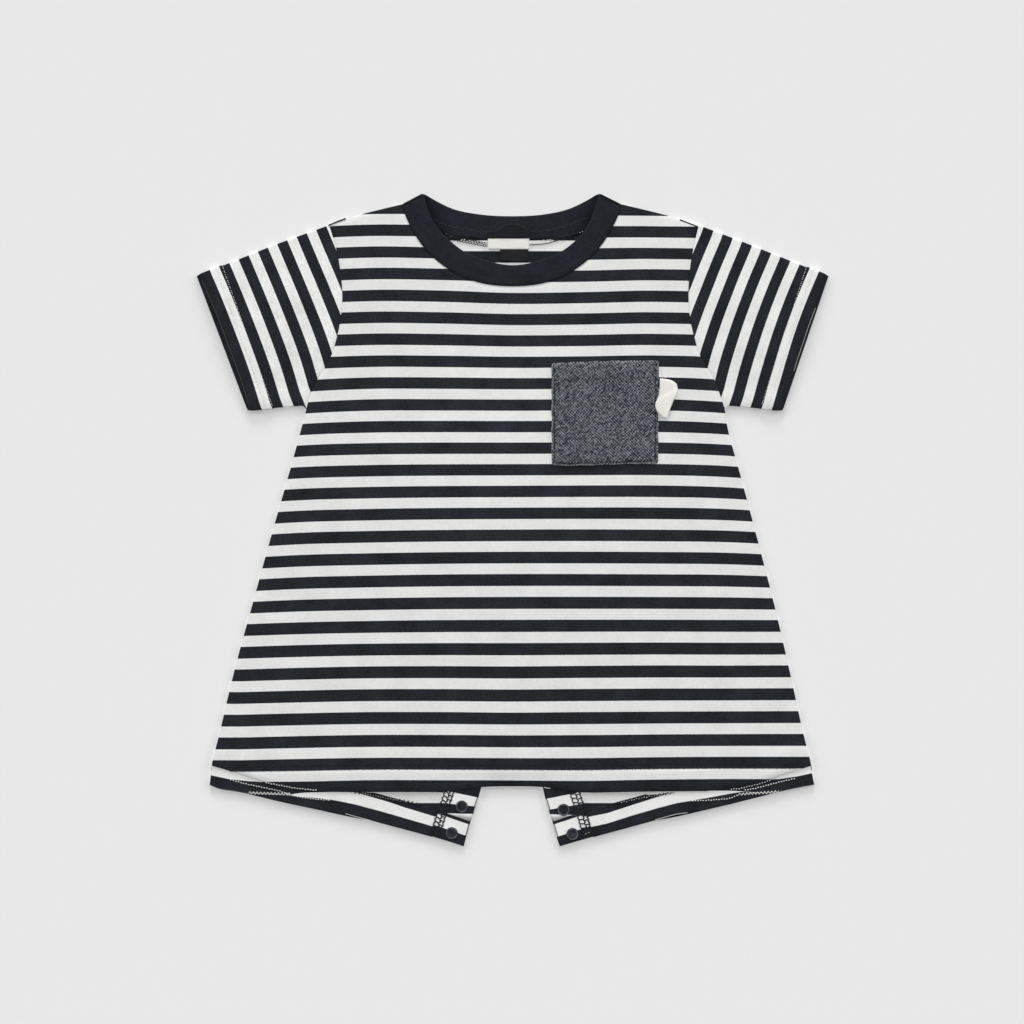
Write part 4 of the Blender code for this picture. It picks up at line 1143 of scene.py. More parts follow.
def build_twist(tree, given):
    """Plied thread: slanting turns along it."""
    x, y, z = parted(tree, given["Cloth"])[:3]
    turn = calc(tree, "ADD", calc(tree, "ADD", x, y), calc(tree, "MULTIPLY", z, 2.0))
    height = calc(tree, "ABSOLUTE", calc(tree, "SINE", calc(tree, "MULTIPLY", turn, given["Turns"])))
    return {"Height": height}


KNIT = effect(
    "Fine jersey knit",
    [("Cloth", "Vector", None), ("Wale", "Float", 0.95), ("Course", "Float", 0.8)],
    [("Height", "Float"), ("Valley", "Float")],
    build_knit,
)
STRIPES = effect(
    "Yarn-dyed courses",
    [
        ("Cloth", "Vector", None),
        ("Number", "Float", 0.0),
        ("Share", "Float", DARK_SHARE),
        ("Raggedness", "Float", 0.02),
        ("Softness", "Float", 0.012),
    ],
    [("Dark", "Float")],
    build_stripes,
)
YARN = effect(
    "Uneven yarn",
    [("Cloth", "Vector", None), ("Fibres", "Float", 0.1), ("Mottle", "Float", 0.0), ("Cloud", "Float", 0.05)],
    [("Tone", "Float")],
    build_yarn,
)
WEAVE = effect(
    "Close weave",
    [
        ("Cloth", "Vector", None),
        ("Thread", "Float", 1.05),
        ("Dots", "Float", 0.60),
        ("Melange", "Float", 0.82),
        ("Slub", "Float", 0.50),
        ("Pull", "Float", 2.2),
    ],
    [("Pale", "Float"), ("Height", "Float")],
    build_weave,
)
TWIST = effect(
    "Plied thread",
    [("Cloth", "Vector", None), ("Turns", "Float", 6.0)],
    [("Height", "Float")],
    build_twist,
)


def new_finish(name, roughness, sheen=0.0, specular=0.25):
    """A material with an empty shader, whose plain numbers sit on its own sockets."""
    finish = bpy.data.materials.new(name)
    finish.use_nodes = True
    tree = finish.node_tree
    shader = tree.nodes["Principled BSDF"]
    shader.inputs["Roughness"].default_value = roughness
    shader.inputs["Sheen Weight"].default_value = sheen
    shader.inputs["Sheen Roughness"].default_value = 0.5
    shader.inputs["Specular IOR Level"].default_value = specular
    return finish, tree, shader


def marked(tree, key, vector=False):
    """A value marked on the piece's points."""
    node = put(tree, "ShaderNodeAttribute", attribute_name=key)
    return node.outputs["Vector" if vector else "Fac"]


def own_place(tree):
    """The place on the piece, in millimetres."""
    metres = put(tree, "ShaderNodeTexCoord").outputs["Object"]
    return toned(tree, metres, 1 / MM)


def toned(tree, colour, tone):
    """A colour made lighter or darker by a tone round 1."""
    return put(tree, "ShaderNodeVectorMath", {0: colour, "Scale": tone}, operation="SCALE").outputs[0]


def bumped(tree, shader, height, distance, strength=1.0):
    """Lays a height over the finish, as bump of a depth in millimetres."""
    bump = put(tree, "ShaderNodeBump", {"Height": height, "Distance": distance * MM, "Strength": strength})
    tree.links.new(bump.outputs[0], shader.inputs["Normal"])


def striped_jersey():
    finish, tree, shader = new_finish("striped_jersey", 0.92, sheen=0.03, specular=0.12)
    cloth = marked(tree, "cloth", vector=True)
    # the tone mark carries painted light: on the front the yarns are painted lightest on the chest
    pale_tone, dark_tone, wear = parted(tree, marked(tree, "tone", vector=True))[:3]
    dark = place(tree, STRIPES, Cloth=cloth, Number=marked(tree, "course"))["Dark"]
    knit = place(tree, KNIT, Cloth=cloth)
    pale_yarn = place(tree, YARN, Cloth=cloth, Fibres=0.16, Mottle=0.11, Cloud=0.21)["Tone"]
    dark_yarn = place(tree, YARN, Cloth=cloth, Fibres=1.6, Mottle=0.38, Cloud=1.4)["Tone"]
    uneven = calc(tree, "MULTIPLY", calc(tree, "SUBTRACT", pale_yarn, 1.0), calc(tree, "ADD", wear, 1.0))
    pale = toned(tree, PALE_YARN, calc(tree, "MULTIPLY", pale_tone, calc(tree, "ADD", uneven, 1.0)))
    deep = toned(tree, DARK_YARN, calc(tree, "MULTIPLY", dark_tone, dark_yarn))
    shaded = calc(tree, "MULTIPLY_ADD", knit["Valley"], -0.05, 1.0)
    tree.links.new(toned(tree, blended(tree, dark, pale, deep), shaded), shader.inputs["Base Color"])
    bumped(tree, shader, knit["Height"], 0.10, 0.35)
    return finish


def rib_knit():
    finish, tree, shader = new_finish("rib", 0.9, sheen=0.02, specular=0.12)
    cloth = marked(tree, "cloth", vector=True)
    knit = place(tree, KNIT, Cloth=cloth, Wale=RIB_PITCH / 2, Course=0.9)
    yarn = place(tree, YARN, Cloth=cloth, Fibres=0.9, Mottle=0.45, Cloud=1.0)["Tone"]
    tone = calc(tree, "MULTIPLY", yarn, marked(tree, "tone"))
    tree.links.new(toned(tree, RIB_YARN, tone), shader.inputs["Base Color"])
    bumped(tree, shader, knit["Height"], 0.12, 0.5)
    return finish


def chambray():
    finish, tree, shader = new_finish("chambray", 0.9, sheen=0.05, specular=0.15)
    cloth = marked(tree, "cloth", vector=True)
    weave = place(tree, WEAVE, Cloth=cloth)
    yarn = place(tree, YARN, Cloth=cloth, Fibres=0.3, Mottle=0.3, Cloud=0.5)["Tone"]
    wear_and_highlight = calc(tree, "MULTIPLY_ADD", marked(tree, "edge"), 0.9, 1.0)
    worn_pale = calc(tree, "MULTIPLY", weave["Pale"], wear_and_highlight)
    # painted shade: the seam mark darkens the pale threads along the stitching and the hem
    pale = calc(tree, "MULTIPLY_ADD", marked(tree, "seam"), -0.16, worn_pale)
    colour = blended(tree, pale, CHAMBRAY_DARK, CHAMBRAY_PALE)
    tree.links.new(toned(tree, colour, yarn), shader.inputs["Base Color"])
    bumped(tree, shader, weave["Height"], 0.16, 0.7)
    return finish


def plain_weave(name, colour, thread, fibres, sheen=0.02, specular=0.2):
    """Close woven tape or label, from fine over-and-under threads."""
    finish, tree, shader = new_finish(name, 0.85, sheen=sheen, specular=specular)
    cloth = own_place(tree)
    weave = place(tree, WEAVE, Cloth=cloth, Thread=thread, Pull=0.0)
    yarn = place(tree, YARN, Cloth=cloth, Fibres=fibres, Cloud=0.06)["Tone"]
    tree.links.new(toned(tree, colour, yarn), shader.inputs["Base Color"])
    bumped(tree, shader, weave["Height"], 0.05, 0.5)
    return finish


def sewing_thread(name, colour):
    finish, tree, shader = new_finish(name, 0.7, sheen=0.03, specular=0.15)
    place_mm = own_place(tree)
    twist = place(tree, TWIST, Cloth=place_mm)["Height"]
    yarn = place(tree, YARN, Cloth=place_mm, Fibres=0.15, Cloud=0.0)["Tone"]
    tree.links.new(toned(tree, colour, yarn), shader.inputs["Base Color"])
    bumped(tree, shader, twist, 0.05, 0.6)
    return finish


def snap_enamel():
    finish, tree, shader = new_finish("snap_enamel", 0.75, specular=0.1)
    place_mm = own_place(tree)
    patches = calc(tree, "MULTIPLY_ADD", noise(tree, place_mm, 0.35), 2.6, -0.75)
    # painted highlight: lighter patches along the rim
    wear_and_highlight = calc(tree, "MULTIPLY", marked(tree, "edge"), calc(tree, "MAXIMUM", patches, 0.12))
    # painted reflections: soft lighter clouds over the enamel, scaled by each snap's tone
    painted_reflection = calc(tree, "MULTIPLY_ADD", noise(tree, place_mm, 0.22, 1.0), 2.4, -0.2)
    painted_reflection = calc(tree, "MULTIPLY", painted_reflection, marked(tree, "tone"))
    colour = blended(tree, wear_and_highlight, toned(tree, SNAP_ENAMEL, painted_reflection), SNAP_RIM_HIGHLIGHT)
    tree.links.new(colour, shader.inputs["Base Color"])
    bumped(tree, shader, noise(tree, place_mm, 3.0, 3.0), 0.03, 0.4)
    return finish


def table_paper():
    finish, tree, shader = new_finish("table_paper", 1.0, specular=0.0)
    grain = noise(tree, own_place(tree), 0.6, 3.0)
    tone = calc(tree, "MULTIPLY_ADD", calc(tree, "SUBTRACT", grain, 0.5), 0.012, 1.0)
    tree.links.new(toned(tree, TABLE, tone), shader.inputs["Base Color"])
    return finish


JERSEY = striped_jersey()
RIB = rib_knit()
CHAMBRAY = chambray()
TAPE = plain_weave("tape", TAPE_CREAM, 0.6, 0.06)
CREAM = plain_weave("cream_label", LABEL_CREAM, 0.45, 0.10)
BLACK = plain_weave("dark_label", LABEL_BLACK, 0.45, 0.5, sheen=0.0, specular=0.05)
FADED_BLACK = plain_weave("faded_label", LABEL_FADED, 0.45, 0.9, sheen=0.0, specular=0.05)
ENAMEL = snap_enamel()
THREADS = {word: sewing_thread(word + "_thread", colour) for word, colour in THREAD_COLOURS.items()}


def settle(piece, slot, *nodes):
    """The piece rides on the garment and stands for its solids; its slot is not used."""
    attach(piece, "root")
    if nodes:
        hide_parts(*nodes)
    return piece


# Panels


def border_distances(plan):
    """Distance of each point from the ends of its row, and from the end of its column."""
    west, east = (np.linalg.norm(plan - plan[:, end : end + 1 or None], axis=-1) for end in (0, -1))
    north = np.linalg.norm(plan - plan[-1:], axis=-1)
    return np.minimum(west, east), north


def make_front():
    north = upper_edge(NECK_FRONT)
    over = share(north[:, 0])
    ends = [side_seam_at(np.array(FRONT_HEM_END), side)[0] for side in (-1, 1)]
    across = ends[0] + over * (ends[1] - ends[0])
    south = np.stack([across, hem_height(across)], axis=1)
    hem_rows = np.linspace(FRONT_HEM_END, FRONT_HEM_END + PRESS_RUN, HEM_STEPS + 1)
    side_rows = np.linspace(hem_rows[-1], ARMHOLES[0].height, SIDE_STEPS + 1)
    heights = np.concatenate([hem_rows, side_rows[1:]])
    west, east = (joined(side_seam_at(heights, side), armhole(side)) for side in (-1, 1))
    up = (share(west[:, 1]) + share(east[:, 1])) / 2
    plan = patch(west, east, south, north, up, over)
    from_side, from_neck = border_distances(plan)
    top = front_top(plan)
    armhole_part = eased((plan[..., 1] - ARMHOLES[0].height) / ARMHOLE_START)
    ditch = SEAM_DITCH * (dip(from_side, SEAM_DITCH_RUN) + dip(from_neck, SEAM_DITCH_RUN))
    top -= ditch * np.maximum(armhole_part, SIDE_DITCH)
    marks = cloth_marks(plan, course_number(plan, FRONT_COURSES))
    piece = cloth_shell("front_shell", plan, top, front_wall(plan), JERSEY, marks)
    settle(piece, "striped_jersey", "front_panel")
    return piece


def leg_line(side):
    """A leg's slanted edge, from the inner tip out to the side seam."""
    tip, corner = (side_column(table, side)[-1] for table in (INNER_LEG_EDGE, SIDE_SEAMS))
    edge = [(side * rim.across, rim.left if side < 0 else rim.right) for rim in LEG_EDGE]
    return [tip, *edge, corner]


def make_back():
    left_leg = smooth(leg_line(-1)[::-1], LEG_STEPS)
    right_leg = smooth(leg_line(1), LEG_STEPS)
    left_inner = smooth(side_column(INNER_LEG_EDGE, -1)[::-1], INNER_LEG_STEPS)
    right_inner = smooth(side_column(INNER_LEG_EDGE, 1), INNER_LEG_STEPS)
    crotch = evenly([left_inner[-1], right_inner[0]], CROTCH_STEPS)
    south = joined(left_leg, left_inner, crotch, right_inner, right_leg)
    columns = len(south)
    north = at_shares(upper_edge(NECK_BACK), np.linspace(0, 1, columns))
    seam_rows = np.linspace(SIDE_SEAMS[-1].height, ARMHOLES[0].height, BACK_SIDE_STEPS + 1)
    west, east = (joined(side_seam_at(seam_rows, side), armhole(side)) for side in (-1, 1))
    up = (share(west[:, 1]) + share(east[:, 1])) / 2
    over = (share(north[:, 0]) + share(south[:, 0])) / 2
    plan = patch(west, east, south, north, up, over)
    marks = cloth_marks(plan, course_number(plan, BACK_COURSES), INSIDE_TONE)
    piece = cloth_shell("back_shell", plan, np.full(plan.shape[:2], BACK_TOP), WALL, JERSEY, marks)
    settle(piece, "striped_jersey", "back_panel")
    return piece


def fold_turn(centre, outward, low, high):
    """Points round a fold's turn, from the upper layer to the lower one, less its two ends."""
    middle, radius = (high + low) / 2, (high - low) / 2
    turn = []
    for k in range(1, TURN_STEPS):
        angle = math.pi * (0.5 - k / TURN_STEPS)
        out, up = math.cos(angle) ** FOLD_FULLNESS, abs(math.sin(angle)) ** FOLD_FULLNESS
        height = middle + math.copysign(radius * up, math.sin(angle))
        turn.append((*(centre + outward * radius * out), height))
    return turn


def flat_ring(upper, high, lower, low, folds):
    """A ring round a tube pressed flat: its upper layer, a fold, its lower layer and a fold."""
    first, last = (fold_turn(*fold) for fold in folds)
    lower = np.column_stack([lower, np.broadcast_to(low, len(lower))])
    return np.concatenate([np.column_stack([upper, high]), first, lower, last[::-1]])


def sleeve_rows(line):
    """One line of a sleeve from cuff to armhole: close rows in the hem, then even ones."""
    hem = np.linspace(0, CUFF_DEPTH + CUFF_CLOSE_ROWS, CUFF_STEPS + 1)
    beyond = lengths(line)[-1] - SEAM_GAP - hem[-1]
    rest = hem[-1] + beyond * (1 - crowded(SLEEVE_STEPS)[::-1])
    return at_places(line, np.concatenate([hem, rest[1:]]))


def row_distance(points, ends, side):
    """How far points lie inward of a row of cuff stitches."""
    start, end = (np.array(spot) for spot in ends)
    return (points - start) @ unit((-side, 0), end - start)


def cuff_wall(points, side):
    """A sleeve layer's thickness."""
    past_stitch = row_distance(points, CUFF_ROWS[side][1], side)
    return hemmed_wall(past_stitch, sleeve_course(points, side)[1])


def sleeve_top(points, side):
    """Height of a sleeve's face, with the grooves of its stitching."""
    rows = (row_distance(points, row, side) for row in CUFF_ROWS[side])
    groove = sum(HEM_GROOVE * dip(distance, HEM_GROOVE_RUN) for distance in rows)
    return front_under(points) + 2 * cuff_wall(points, side) - WALL - groove


def make_sleeve(name, side):
    top, underside = (np.array(side_column(table, side)) for table in (SLEEVE_TOP, SLEEVE_UNDERSIDE))
    seam = evenly(smooth(side_column(ARMHOLES, side), EDGE_SAMPLES)[::-1], SLEEVE_COLUMNS)
    fold_radius = (2 * WALL + SEAM_GAP) / 2
    cuff = evenly([top[0], underside[0]], SLEEVE_COLUMNS)
    along_top = evenly([*top, seam[0]], SLEEVE_NET_STEPS)
    along_bottom = evenly([*underside, seam[-1]], SLEEVE_NET_STEPS)
    rows = np.linspace(0, 1, SLEEVE_NET_STEPS + 1)
    net = patch(along_top, along_bottom, cuff, seam, rows, share(lengths(seam)))
    plan = np.stack([sleeve_rows(net[:, c]) for c in range(net.shape[1])], axis=1)
    outward_top = unit((0, 1), seam[0] - top[0])
    outward_bottom = unit((0, -1), underside[-1] - underside[0])
    plan[:, 0] -= outward_top * fold_radius
    plan[:, -1] -= outward_bottom * fold_radius
    _, depth = sleeve_course(plan, side)
    inward = unit((-side, 0), cuff[-1] - cuff[0])
    near = np.clip(1 - depth / CUFF_DEPTH, 0, 1)
    upper = plan + (cuff_inset(share(lengths(cuff)), side) * near)[..., None] * inward
    plan = plan - (CUFF_OUTSET * near)[..., None] * inward
    wall = cuff_wall(plan, side)
    ditch = SEAM_DITCH * dip(np.linalg.norm(plan - plan[-1:], axis=-1), SEAM_DITCH_RUN)
    face = sleeve_top(upper, side) - ditch
    outer, inner = [], []
    for places, above, z, thick in zip(plan, upper, face, wall):
        ends = [
            (places[end], way, thick[end], z[end]) for end, way in ((-1, outward_bottom), (0, outward_top))
        ]
        below = places[::-1]
        folds = [(spot, way, 0.0, high) for spot, way, _, high in ends]
        outer.append(flat_ring(above, z, below, 0.0, folds))
        folds = [(spot, way, low, high - low) for spot, way, low, high in ends]
        inner.append(flat_ring(above, z - thick, below, thick[::-1], folds))
    outer, inner = np.array(outer), np.array(inner)
    course, depth = sleeve_course(outer[..., :2], side)
    course = np.where(course < DARK_SHARE, np.maximum(course, CUFF_DARK_START), course)
    down = lengths(outer[0])
    cloth = np.stack([np.broadcast_to(down, depth.shape), depth, 0 * depth], axis=-1)
    tone = np.stack([0 * depth + part for part in (*SLEEVE_TONE[side], SLEEVE_WEAR[side])], axis=-1)
    marks = {"course": course, "cloth": cloth, "tone": tone}
    piece = cloth_tube(name + "_shell", outer, inner, JERSEY, marks)
    settle(piece, "striped_jersey", name)
    return piece


# Neckband


def neck_half(rows, steps):
    """Cross lines of the neckband from the left shoulder to the right, as their two ends."""
    seam, free = (neck_line(rows, kind, steps) for kind in ("seam", "free"))
    across = free - seam
    width = np.linalg.norm(across, axis=1)
    reach = lengths(free)
    turned = np.clip(1 - np.minimum(reach, reach[-1] - reach) / PEAK_TURN, 0, 1) ** 2
    seam = seam + across * (SEAM_GAP / width)[:, None]
    return seam, free - across * (PEAK_DROP * turned / width)[:, None]


def make_neckband():
    across = np.linspace(0, 1, BAND_STEPS + 1)[:, None, None]
    radius = (2 * RIB_WALL + SEAM_GAP) / 2
    halves = []
    for rows, reach in NECK_HALVES:
        steps = int(reach / RIB_PITCH) * STEPS_A_RIB
        seam, free = neck_half(rows, steps)
        for end, side in ((0, -1), (-1, 1)):
            inward = -unit((0, 1), free[end] - seam[end])
            seam[end] += inward * radius
            free[end] += inward * radius
        halves.append((1 - across) * seam[None] + across * free[None])
    front, back = halves[0], halves[1][:, ::-1]
    spread = across[:, :, 0]
    from_seam = spread * BAND_WIDTH
    grooves = TWIN_GROOVE * sum(dip(from_seam - seam_at, TWIN_GROOVE_RUN) for seam_at in TWIN_SEAM)
    rib = RIB_RELIEF * np.cos(np.arange(front.shape[1]) * math.pi / 2)
    rib = rib * eased(spread * RIB_START) * eased((1 - spread) * RIB_START)
    lining = front_under(front) + RIB_WALL - WALL
    face = lining + RIB_WALL - (grooves + BAND_SEAM_DIP * dip(from_seam, BAND_SEAM_RUN)) + rib
    back_lining = RIB_WALL - BACK_DENT * dip(from_seam - BACK_SEAM, BACK_DENT_RUN)
    ways = [(end, unit((0, 1), front[-1, end] - front[0, end])) for end in (-1, 0)]
    outer, inner = [], []
    for row in range(len(across)):
        folds = [(front[row, end], way, 0.0, face[row, end]) for end, way in ways]
        outer.append(flat_ring(front[row], face[row], back[row], 0.0, folds))
        folds = [(front[row, end], way, RIB_WALL, lining[row, end]) for end, way in ways]
        inner.append(flat_ring(front[row], lining[row], back[row], back_lining[row, 0], folds))
    outer, inner = np.array(outer), np.array(inner)
    round_neck = np.stack([lengths(row) for row in outer[:, :, :2]]).mean(0)
    width = np.broadcast_to(from_seam, outer.shape[:2])
    cloth = np.stack([np.broadcast_to(round_neck, width.shape), width, 0 * width], axis=-1)
    on_front_half = np.arange(outer.shape[1]) < front.shape[1]
    first, second = (dip(width - seam_at, TWIN_SHADE_RUN) for seam_at in TWIN_SEAM)
    lines = first + TWIN_SECOND * second
    free_edge = neck_line(NECK_FRONT, "free", 80)
    overhang = edge_distance(outer[..., :2], np.stack([free_edge[:-1], free_edge[1:]], axis=1))
    shades = ((*BAND_SEAM_SHADE, width), (*OVERHANG_SHADE, overhang))
    behind = BACK_BAND_TONE + 0 * width
    for strength, run, distance in shades:
        behind = behind - strength * dip(distance, run)
    tone = np.where(on_front_half, 1 - TWIN_SHADE * lines, behind)
    piece = cloth_tube("neckband_shell", outer, inner, RIB, {"cloth": cloth, "tone": tone})
    settle(piece, "rib", "neckband")
    return piece


# Pieces sewn on


def pocket_plan():
    """Plan points of the pocket, with the slight waves of its sewn edges."""
    low_left, low_right, high_right, high_left = (np.array(corner) for corner in POCKET_CORNERS)
    over, up = (np.linspace(0, 1, count + 1) for count in POCKET_GRID)
    bow = POCKET_TOP_BOW * 4 * over * (1 - over)
    drop = POCKET_FOOT_DROP * np.sin(math.pi * over) * (1 - over) ** 3
    south = low_left + over[:, None] * (low_right - low_left) - np.stack([0 * over, drop], axis=1)
    north = high_left + over[:, None] * (high_right - high_left) + np.stack([0 * over, bow], axis=1)
    west = low_left + up[:, None] * (high_left - low_left)
    east = low_right + up[:, None] * (high_right - low_right)
    for line, axis, edge in ((south, 1, "south"), (north, 1, "north"), (west, 0, "west"), (east, 0, "east")):
        turns = POCKET_TURNS[edge]
        part = np.linspace(0, 1, len(line))
        second = np.sin(POCKET_SECOND_TURNS * turns * math.pi * part)
        wave = np.sin(turns * math.pi * part) + POCKET_SECOND_WAVE * second
        line[:, axis] += POCKET_WAVE * wave * np.sin(math.pi * part)
    plan = patch(west, east, south, north, up, over)
    inward = ((1, 1), (-1, 1), (-1, -1), (1, -1))
    for corner, radius, way in zip(POCKET_CORNERS, POCKET_ROUND, np.array(inward)):
        centre = np.array(corner) + radius * way
        offset = (centre - plan) * way
        inside = (offset > 0).all(axis=-1)
        pulled = offset.max(-1) / np.maximum(np.linalg.norm(offset, axis=-1), 0.01)
        plan = np.where(inside[..., None], centre - offset * pulled[..., None] * way, plan)
    return plan


def pocket_measures(plan):
    """Distances across and along the pocket, from its sewn edges, and from its top."""
    across, along = (np.linalg.norm(plan - first, axis=-1) for first in (plan[:, :1], plan[:1]))
    right, top_edge = (np.linalg.norm(plan - last, axis=-1) for last in (plan[:, -1:], plan[-1:]))
    return across, along, np.minimum(np.minimum(across, right), along), top_edge


def make_pocket():
    plan = pocket_plan()
    across, along, sewn, top_edge = pocket_measures(plan)
    from_hem, from_edge = top_edge - POCKET_HEM, np.minimum(sewn, top_edge)
    hem = HEM_EXTRA / 2 * (1 - eased(from_hem / POCKET_HEM_STEP))
    groove = POCKET_GROOVE * dip(sewn - POCKET_STITCH, POCKET_GROOVE_RUN)
    groove = groove + POCKET_HEM_GROOVE * dip(from_hem, POCKET_HEM_RUN)
    wall = WALL + hem - groove - POCKET_EDGE_DIP * dip(from_edge, POCKET_EDGE_RUN)
    face = front_top(plan) + SEAM_GAP + wall
    strength, run, reach = POCKET_HEM_SHADE
    # painted shade along the topstitching, and along the hem towards the left side
    seam = dip(sewn - POCKET_STITCH, POCKET_SEAM_SHADE) + strength * dip(from_hem, run) * dip(across, reach)
    marks = {
        "cloth": np.dstack([across, along, 0 * along]),
        "edge": dip(from_edge, POCKET_EDGE_LIGHT),
        "seam": seam,
    }
    piece = cloth_shell("pocket_shell", plan, face, wall, CHAMBRAY, marks)
    settle(piece, "chambray", "chest_pocket")
    return piece


def make_tab():
    outline = np.array(TAB_OUTLINE, float)
    half = len(outline) // 2
    outer_side, inner_side = (smooth(line, TAB_GRID[0]) for line in (outline[:half], outline[half:][::-1]))
    across = np.linspace(0, 1, TAB_GRID[1] + 1)[:, None, None]
    plan = ((1 - across) * inner_side[None] + across * outer_side[None]).transpose(1, 0, 2)[::-1]
    pocket_edge = POCKET_CORNERS[2].across
    climb = eased((pocket_edge + TAB_CLIMB - plan[..., 0]) / TAB_CLIMB) * (WALL + SEAM_GAP)
    low, high = (np.array(spot) for spot in TAB_CREASE)
    above = (plan - low) @ unit((0, 1), high - low)
    lobe = TAB_LOBE[0] * eased(-above / TAB_LOBE[1]) - TAB_DENT[0] * dip(above, TAB_DENT[1])
    face = front_top(plan) + SEAM_GAP + climb + WALL + lobe
    marks = {"cloth": np.dstack([plan, 0 * lobe])}
    piece = cloth_shell("tab_shell", plan, face, WALL, TAPE, marks)
    settle(piece, "tape", "pocket_tab")
    return piece


def make_label(name, corners, under, material, slot, crown=()):
    low, high = corners
    over = np.linspace(low.across, high.across, LABEL_GRID[0] + 1)
    top_edge = soft_interp(over, *zip(*crown)) if crown else np.full(len(over), high.height)
    up = np.linspace(0, 1, LABEL_GRID[1] + 1)[:, None]
    heights = low.height + up * (top_edge - low.height)
    plan = np.dstack([np.broadcast_to(over, heights.shape), heights])
    wave = LABEL_WAVE * np.sin(plan[..., 0] * LABEL_WAVES[0]) * np.sin(plan[..., 1] * LABEL_WAVES[1])
    piece = cloth_shell(name + "_shell", plan, under + WALL + wave, WALL + wave, material, {})
    return settle(piece, slot, name)


# Legs


def leg_edge_height(across, side):
    """Height of a leg's slanted edge at a place across the garment."""
    line = smooth(leg_line(side), EDGE_SAMPLES)
    order = np.argsort(line[:, 0])
    return np.interp(across, line[order, 0], line[order, 1])


def placket_edges(side, steps):
    """A placket's inner and outer edge, from its top down to the slanted leg edge."""
    inner = offset_line(smooth(side_column(INNER_LEG_EDGE, side), steps), side * FACING_INSET)
    return inner, inner + (side * PLACKET_WIDTH, 0)


def between(edges, steps):
    """Rows from each edge to the next in even steps, and the last edge."""
    shares = np.linspace(0, 1, steps + 1)[:-1]
    edges = [np.asarray(edge, float) for edge in edges]
    runs = [near + np.multiply.outer(shares, far - near) for near, far in zip(edges[:-1], edges[1:])]
    return np.concatenate([*runs, edges[-1][None]])


def placket_courses(bands):
    """Course numbers at a placket's top, at its bands' edges and at its foot."""
    before, after = PLACKET_COURSE_ENDS
    numbers = [before, *(0.5 * (k + 1) for k in range(len(bands))), 0.5 * len(bands) + after]
    return [number + (DARK_SHARE - 0.5) * (k % 2) for k, number in enumerate(numbers)]


def make_placket(name, side):
    """The course edges cross the placket as slanting lines, so its rows follow them."""
    inner, outer = placket_edges(side, PLACKET_STEPS)
    bands = PLACKET_BANDS[side]
    columns = []
    for part in np.linspace(0, 1, PLACKET_COLUMNS + 1):
        line = inner + part * (outer - inner)
        foot = leg_edge_height(line[-1, 0], side) + FACING_INSET
        edges = [PLACKET_TOP, *(b.inner + part * (b.outer - b.inner) for b in bands), foot]
        edges = np.minimum.accumulate(edges) - PLACKET_STEP_DOWN * np.arange(len(edges))
        heights = between(edges, PLACKET_BAND_STEPS)
        columns.append(np.stack([np.interp(heights, line[::-1, 1], line[::-1, 0]), heights], axis=1))
    plan = np.stack(columns, axis=1)[::-1]
    course = between(placket_courses(bands), PLACKET_BAND_STEPS)[::-1, None] + 0 * plan[..., 0]
    if side < 0:
        plan = plan[:, ::-1]
    from_inner = np.abs(plan[..., 0] - (plan[:, -1:, 0] if side < 0 else plan[:, :1, 0])) / PLACKET_WIDTH
    ridge = TUCK_RISE * dip((plan[..., 1] - TUCK_HEIGHT) * 2, TUCK_WIDTH) * (1 - from_inner)
    first, last = TUCK_COURSES
    shaded = 1 - TUCK_SHADE * eased((course - first) / TUCK_SHADE_RUN) * (course < last)
    marks = cloth_marks(plan, course, (INSIDE_TONE[0] * shaded, INSIDE_TONE[1]))
    piece = cloth_shell(name + "_shell", plan, FACING_TOP + ridge, WALL + ridge, JERSEY, marks)
    settle(piece, "striped_jersey", name)
    return piece


def facing_edges(side):
    """A facing's edges: along the leg, and inside the flap."""
    line = offset_line(smooth(leg_line(side), EDGE_SAMPLES), side * FACING_INSET)
    placket = placket_edges(side, PLACKET_STEPS)[1][::-1]
    seam = np.array(side_column(SIDE_SEAMS, side)[::-1])
    start = np.abs(np.interp(line[:, 1], placket[:, 1], placket[:, 0])) + SEAM_GAP
    end = np.abs(np.interp(line[:, 1], seam[:, 1], seam[:, 0])) - FACING_END
    across = np.abs(line[:, 0])
    low = evenly(line[(across > start) & (across < end)], FACING_STEPS)
    straight = low[:-FACING_TURN]
    rise = offset_line(straight, side * FACING_WIDTH) - straight
    return low, low + np.concatenate([rise, np.repeat(rise[-1:], FACING_TURN, axis=0)])


def facing_parts(low, high, table):
    """Shares of a facing's width where its bands meet, for each column, with both edges."""
    stations = [row.across for row in table]
    parts = [np.zeros(len(low))]
    for key in ("low", "high", "third"):
        heights = [getattr(row, key) for row in table]
        part = parts[-1]
        for _ in range(FACING_ROUNDS):  # its columns slant, so the share is found step by step
            across = low[:, 0] + part * (high[:, 0] - low[:, 0])
            part = (np.interp(across, stations, heights) - low[:, 1]) / (high[:, 1] - low[:, 1])
        parts.append(np.clip(part, parts[-1] + FACING_LEAST, FACING_MOST))
    return [*parts, np.ones(len(low))]


def make_facing(name, side):
    """A facing's courses follow the leg bands, and its rows lie on their edges."""
    low, high = facing_edges(side)
    parts = facing_parts(low, high, LEG_BANDS[side])
    up = between(parts, FACING_BAND_STEPS)[..., None]
    plan = (1 - up) * low[None] + up * high[None]
    course = between(FACING_COURSES, FACING_BAND_STEPS)[:, None] + 0 * up[..., 0]
    course = np.where(parts[-2] > FACING_FULL, np.maximum(course, FACING_DARK_END), course)
    if side < 0:
        plan, course = plan[:, ::-1], course[:, ::-1]
    marks = cloth_marks(plan, course, INSIDE_TONE)
    top = np.full(plan.shape[:2], FACING_TOP)
    piece = cloth_shell(name + "_shell", plan, top, WALL, JERSEY, marks)
    settle(piece, "striped_jersey", name)
    return piece


